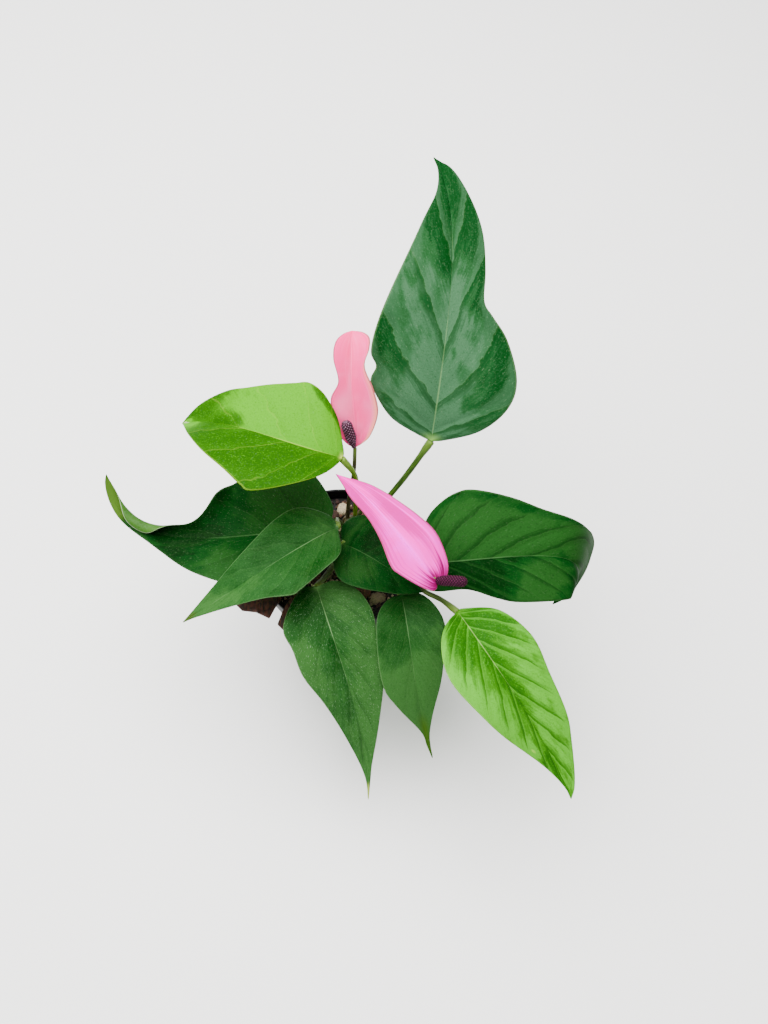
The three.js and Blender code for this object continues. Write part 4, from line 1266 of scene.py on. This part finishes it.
class ANTHURIUM_OT_crown(bpy.types.Operator):
    """Builds the ringed stem that the stalks grow from, with dry sheaths round its foot"""

    bl_idname = "anthurium.crown"
    bl_label = "Crown"

    def execute(self, context):
        height = np.linspace(0, 1, 90)
        z = CROWN["bottom"] + (CROWN["top"] - CROWN["bottom"]) * height
        spacing = CROWN_RINGS["spacing"]
        from_ring = (z - CROWN["bottom"]) % spacing - spacing / 2
        rings = CROWN_RINGS["height"] * np.exp(-(from_ring / CROWN_RINGS["width"]) ** 2)
        dome = np.sqrt(np.clip(1 - (np.clip(height - 0.8, 0, 1) / 0.2) ** 2, 0, 1))
        radius = (CROWN["radius"] * (0.86 + 0.14 * np.clip(height / 0.2, 0, 1)) + rings) * dome
        radius[[0, -1]] = 0
        sheet, uv, shade, _ = turned_sheet(together(radius, z), 48, (CROWN["x"], CROWN["y"]))
        turn = np.arctan2(sheet[..., 1] - CROWN["y"], sheet[..., 0] - CROWN["x"])
        bulge = 1 + 0.05 * np.sin(3 * turn + z[:, None] * 0.4)
        sheet[..., 0] = CROWN["x"] + (sheet[..., 0] - CROWN["x"]) * bulge
        sheet[..., 1] = CROWN["y"] + (sheet[..., 1] - CROWN["y"]) * bulge
        material = stalk_material("young stem skin", "#46451f", "#2a2815")
        make_piece("crown_stem", [(sheet, uv, shade, 0)], [material], ["crown"])
        papery = stalk_material("dry papery sheath", "#54482a", "#33281a")
        for number in range(SHEATHS["count"]):
            self.sheath(number, papery)
        return {"FINISHED"}

    def sheath(self, number, material):
        """A pointed sheath: half width 3.6 sin(pi (0.3 + 0.7 h))^0.7 at the share h of its height.

        It is wrapped round the stem and leans out with the square of h.
        """
        height = np.linspace(0, 1, 24)[:, None]
        across = np.linspace(-1, 1, 13)[None, :]
        width = 3.6 * np.sin(np.pi * (0.3 + 0.7 * height)) ** 0.7
        turn = number * GOLDEN_TURN + across * width / CROWN["radius"]
        reach = CROWN["radius"] + 0.5 + 1.4 * height ** 2
        z = SHEATHS["foot"] + 4.0 * (number % 3) + SHEATHS["length"] * height
        outer = together(CROWN["x"] + reach * np.cos(turn), CROWN["y"] + reach * np.sin(turn), z)
        inner = outer.copy()
        inner[..., 0] -= SHEATHS["thickness"] * np.cos(turn)
        inner[..., 1] -= SHEATHS["thickness"] * np.sin(turn)
        uv = together(across, height * 0.2)
        shade = np.zeros(uv.shape[:2])
        edges = edge_strips(outer, inner, uv, shade, SIDE_EDGES + END_EDGES)
        sheets = [(outer, uv, shade, 0), (inner, uv, shade, 0), *edges]
        make_piece(f"crown_sheath_{number + 1}", sheets, [material], [])


class ANTHURIUM_OT_bark(bpy.types.Operator):
    """Lays the two large pieces of bark across the rim"""

    bl_idname = "anthurium.bark"
    bl_label = "Bark"

    def execute(self, context):
        material = bark_material("pine bark", "#1f0f0a", "#4d271a")
        for name, outline, seed in (("bark_flake", BARK_FLAKE, 21), ("bark_splinter", BARK_SPLINTER, 22)):
            self.slab(name, outline, seed, material)
        return {"FINISHED"}

    def slab(self, name, outline, seed, material):
        """A slab laid out from its middle: point = middle + share (outline - middle), rough on top."""
        points = np.array(outline, float)
        closed = np.vstack([points, points[:1]])
        lengths = distances(closed)
        edge = read_off(closed, lengths, np.linspace(0, lengths[-1], 121))
        centre = points.mean(axis=0)
        share = np.array([0, 0.2, 0.4, 0.55, 0.7, 0.8, 0.88, 0.94, 0.98, 1.0])[:, None, None]
        plan = centre + share * (edge - centre)[None]
        x, y = plan[..., 0], plan[..., 1]
        bump = ripples(x * 2, y, seed, 0.9, 9) + ripples(x, y, seed + 1, 0.5, 3.5)
        fall = smooth_step(share[..., 0], 0.85, 1)
        top = BARK_BOTTOM + BARK_THICKNESS + bump * (1 - fall) - 0.7 * fall
        low = np.broadcast_to(BARK_BOTTOM + 0.35 * fall, x.shape)
        upper, lower = together(x, y, top), together(x, y, low)
        side = upper[-1] + np.linspace(0, 1, 5)[:, None, None] * (lower[-1] - upper[-1])[None]
        uv, shade = np.zeros(x.shape + (2,)), np.zeros(x.shape)
        sheets = [(upper, uv, shade, 0), (lower, uv, shade, 0), (side, uv[:5], shade[:5], 0)]
        make_piece(name + "_piece", sheets, [material], [name])


class ANTHURIUM_OT_blades(bpy.types.Operator):
    """Builds the nine leaf blades"""

    bl_idname = "anthurium.blades"
    bl_label = "Leaf blades"

    def execute(self, context):
        settings = context.scene.anthurium_leaves
        for seed, leaf in enumerate(LEAVES):
            blade = BLADE_DEFAULTS | leaf
            sheets = blade_sheets(blade, settings.thickness / MM, settings.ridge / MM, settings.rows,
                                  settings.columns, seed)
            tint = leaf.get("tint", leaf["green"])
            green = GREENS[tint]
            main = (*getattr(settings, tint), 1.0)
            materials = [
                leaf_material(f"{leaf['name']} waxy upper skin", main, green, blade),
                underside_material(f"{leaf['name']} matt under skin", green),
            ]
            make_piece(f"{leaf['name']}_blade_skin", sheets, materials,
                       [f"{leaf['name']}_blade"])
        return {"FINISHED"}


class ANTHURIUM_OT_stalks(bpy.types.Operator):
    """Builds the petioles of the leaves and the peduncles of the blooms"""

    bl_idname = "anthurium.stalks"
    bl_label = "Stalks"

    def execute(self, context):
        settings = context.scene.anthurium_leaves
        share = np.linspace(0, 1, STALK_STEPS)
        for leaf in LEAVES:
            colours = leaf.get("stalk_colours", ((*settings.petiole, 1.0), PETIOLE_STREAKS))
            petiole = stalk_material(f"{leaf['name']} fleshy petiole", *colours)
            radius = self.petiole_radius(share, leaf["stalk_radius"])
            sheet = stalk_sheet(leaf["stalk"], radius, PETIOLE_GROOVE)
            make_piece(f"{leaf['name']}_petiole_stalk", [sheet], [petiole],
                       [f"{leaf['name']}_petiole"])
        for bloom in BLOOMS:
            material = stalk_material(f"{bloom['name']} fleshy peduncle", *bloom["stalk_colours"])
            sheet = stalk_sheet(bloom["stalk"], np.full(STALK_STEPS, PEDUNCLE_RADIUS), 0.0)
            make_piece(f"{bloom['name']}_peduncle_stalk", [sheet], [material],
                       [f"{bloom['name']}_peduncle"])
        return {"FINISHED"}

    def petiole_radius(self, share, radius):
        """Widens a little along its length, and swells into a knee below the blade."""
        knee = smooth_step(share, 0.84, 0.95)
        return radius * (0.9 + 0.15 * share + 0.3 * knee)


class ANTHURIUM_OT_spathes(bpy.types.Operator):
    """Builds the pink spathes of the blooms"""

    bl_idname = "anthurium.spathes"
    bl_label = "Spathes"

    def execute(self, context):
        settings = context.scene.anthurium_blooms
        for seed, bloom in enumerate(BLOOMS):
            blade = BLADE_DEFAULTS | SPATHE_FORM | bloom
            look = bloom["spathe_colours"], bloom["stripe"], bloom["stained"]
            sheets = blade_sheets(blade, settings.thickness / MM, seed=SPATHE_SEED + seed, **SPATHE_GRID)
            materials = [
                spathe_material(f"{bloom['name']} satin spathe skin", *look, False),
                spathe_material(f"{bloom['name']} spathe back", *look, True),
            ]
            make_piece(f"{bloom['name']}_spathe_skin", sheets, materials,
                       [f"{bloom['name']}_spathe"])
        return {"FINISHED"}


class ANTHURIUM_OT_spadices(bpy.types.Operator):
    """Builds the spadices with their florets"""

    bl_idname = "anthurium.spadices"
    bl_label = "Spadices"

    def execute(self, context):
        settings = context.scene.anthurium_blooms
        for bloom in BLOOMS:
            self.spadix(bloom, settings.florets_around, settings.floret_height / MM)
        return {"FINISHED"}

    def spadix(self, bloom, florets_around, floret_height):
        """A blunt club: r = radius * taper * shoulder + height * (floret - 0.6).

        The shoulder widens from the neck at its foot, and the florets fade where the tip closes. They
        lie on a diamond lattice: with a and b its two slanted directions, floret = |cos a cos b| to
        the power 0.6, where a full turn takes a whole count of lattice cells.
        """
        foot, end = np.array(bloom["spadix"], float)
        radius = bloom["spadix_radius"]
        bend = (foot + end) / 2 + (0, 0, SPADIX_BEND)
        sides = florets_around * SPADIX_SIDES_PER_FLORET
        centre, tangent, length = stalk_line([foot, bend, end], SPADIX_STEPS)
        side = unit(np.cross(tangent, (0, 0, 1)))
        over = np.cross(side, tangent)
        share = np.linspace(0, 1, SPADIX_STEPS)
        taper = np.sqrt(np.clip(1 - (np.clip(share - 0.8, 0, 1) / 0.2) ** 2, 0, 1))
        narrow, grown = bloom["spadix_neck"]
        shoulder = narrow + (1 - narrow) * smooth_step(share, 0, grown)
        turn = np.linspace(0, 2 * np.pi, sides + 1)
        a = florets_around * (turn[None, :] + length[:, None] / radius)
        b = florets_around * (turn[None, :] - length[:, None] / radius)
        floret = np.abs(np.cos(a) * np.cos(b)) ** 0.6
        reach = (radius * (taper * shoulder)[:, None] - floret_height * 0.6
                 + floret_height * floret * smooth_step(taper, 0, 0.5)[:, None])
        reach = np.maximum(reach, 0)
        reach[[0, -1]] = 0
        sheet = round_line(centre, side, over, reach, turn)
        uv = together(turn[None, :] / (2 * np.pi), share[:, None])
        material = spadix_material(f"{bloom['name']} packed florets", bloom["spadix_colours"])
        make_piece(f"{bloom['name']}_spadix_florets", [(sheet, uv, floret, 0)], [material],
                   [f"{bloom['name']}_spadix"])


class ANTHURIUM_OT_stage(bpy.types.Operator):
    """Sets up the floor, the soft light and the camera"""

    bl_idname = "anthurium.stage"
    bl_label = "Stage"

    def execute(self, context):
        settings = context.scene.anthurium_stage
        self.floor(settings.floor_size)
        self.lights(context, settings)
        self.camera(context)
        return {"FINISHED"}

    def floor(self, size):
        """A flat pale board at the height of the pot's underside."""
        half = size / 2
        corners = [(-half, -half, 0), (half, -half, 0), (half, half, 0), (-half, half, 0)]
        mesh = bpy.data.meshes.new("floor")
        mesh.from_pydata(corners, [], [(0, 1, 2, 3)])
        mesh.materials.append(floor_material("matt painted board", "#e9e8e6"))
        board = bpy.data.objects.new("floor", mesh)
        bpy.context.scene.collection.objects.link(board)

    def lights(self, context, settings):
        """Even light from all round, one wide softbox overhead and a weak fill from the front."""
        world = bpy.data.worlds.new("pale room")
        world.use_nodes = True
        background = world.node_tree.nodes["Background"]
        background.inputs["Color"].default_value = linear("#f4f6f8")
        background.inputs["Strength"].default_value = settings.sky
        context.scene.world = world
        for name, place, aim, size, power in (
                ("softbox", (-0.3, 0.2, 1.45), (0, 0, 0.1), 2.0, settings.softbox),
                ("front fill", (0.7, -1.4, 0.9), (0, 0, 0.1), 1.0, settings.softbox * 0.05)):
            lamp = bpy.data.lights.new(name, "AREA")
            lamp.size = size
            lamp.energy = power
            light = bpy.data.objects.new(name, lamp)
            light.location = place
            gap = np.array(aim, float) - np.array(place, float)
            light.rotation_euler = (math.acos(-gap[2] / np.linalg.norm(gap)), 0,
                                    math.atan2(gap[1], gap[0]) - math.pi / 2)
            context.scene.collection.objects.link(light)

    def camera(self, context):
        """Places the camera so that the middle of the pot's rim falls where the photo has it.

        It stands CAMERA_DISTANCE before the rim along its line of sight, moved aside by the rim's
        offset from the middle of the photo over the focal length.
        """
        elevation = math.radians(CAMERA_ELEVATION)
        ahead = np.array([0, math.cos(elevation), -math.sin(elevation)])
        up = np.array([0, math.sin(elevation), math.cos(elevation)])
        aside = (PHOTO_SIZE[0] / 2 - RIM_IN_PHOTO[0]) / FOCAL_IN_PIXELS * CAMERA_DISTANCE
        raised = (RIM_IN_PHOTO[1] - PHOTO_SIZE[1] / 2) / FOCAL_IN_PIXELS * CAMERA_DISTANCE
        rim = np.array([0, 0, POT["height"] * MM])
        lens = bpy.data.cameras.new("camera")
        lens.sensor_fit = "VERTICAL"
        lens.sensor_height = 36
        lens.lens = lens.sensor_height * FOCAL_IN_PIXELS / PHOTO_SIZE[1]
        lens.clip_start = 0.01
        camera = bpy.data.objects.new("camera", lens)
        camera.location = rim - CAMERA_DISTANCE * ahead + np.array([aside, 0, 0]) + raised * up
        camera.rotation_euler = (math.pi / 2 - elevation, 0, 0)
        context.scene.collection.objects.link(camera)
        context.scene.camera = camera


PIECES = (
    ANTHURIUM_OT_pot,
    ANTHURIUM_OT_soil,
    ANTHURIUM_OT_crown,
    ANTHURIUM_OT_bark,
    ANTHURIUM_OT_blades,
    ANTHURIUM_OT_stalks,
    ANTHURIUM_OT_spathes,
    ANTHURIUM_OT_spadices,
    ANTHURIUM_OT_stage,
)


class ANTHURIUM_PT_panel(bpy.types.Panel):
    """Lists the settings and the pieces in the sidebar"""

    bl_idname = "ANTHURIUM_PT_panel"
    bl_label = "Potted anthurium"
    bl_space_type = "VIEW_3D"
    bl_region_type = "UI"
    bl_category = "Anthurium"

    def draw(self, context):
        for name, group in SETTINGS.items():
            box = self.layout.box()
            for setting in group.__annotations__:
                box.prop(getattr(context.scene, name), setting)
        for operator in PIECES:
            self.layout.operator(operator.bl_idname)


def register():
    """Registers the settings, the operators and the panel."""
    for name, group in SETTINGS.items():
        bpy.utils.register_class(group)
        setattr(bpy.types.Scene, name, bpy.props.PointerProperty(type=group))
    for entry in (*PIECES, ANTHURIUM_PT_panel):
        bpy.utils.register_class(entry)


def unregister():
    """Takes the panel, the operators and the settings away again."""
    for entry in (ANTHURIUM_PT_panel, *reversed(PIECES)):
        bpy.utils.unregister_class(entry)
    for name, group in SETTINGS.items():
        delattr(bpy.types.Scene, name)
        bpy.utils.unregister_class(group)


def main():
    """Builds every piece and the stage."""
    register()
    for operator in PIECES:
        group, action = operator.bl_idname.split(".")
        getattr(getattr(bpy.ops, group), action)()
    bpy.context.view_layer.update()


if __name__ == "__main__":
    main()
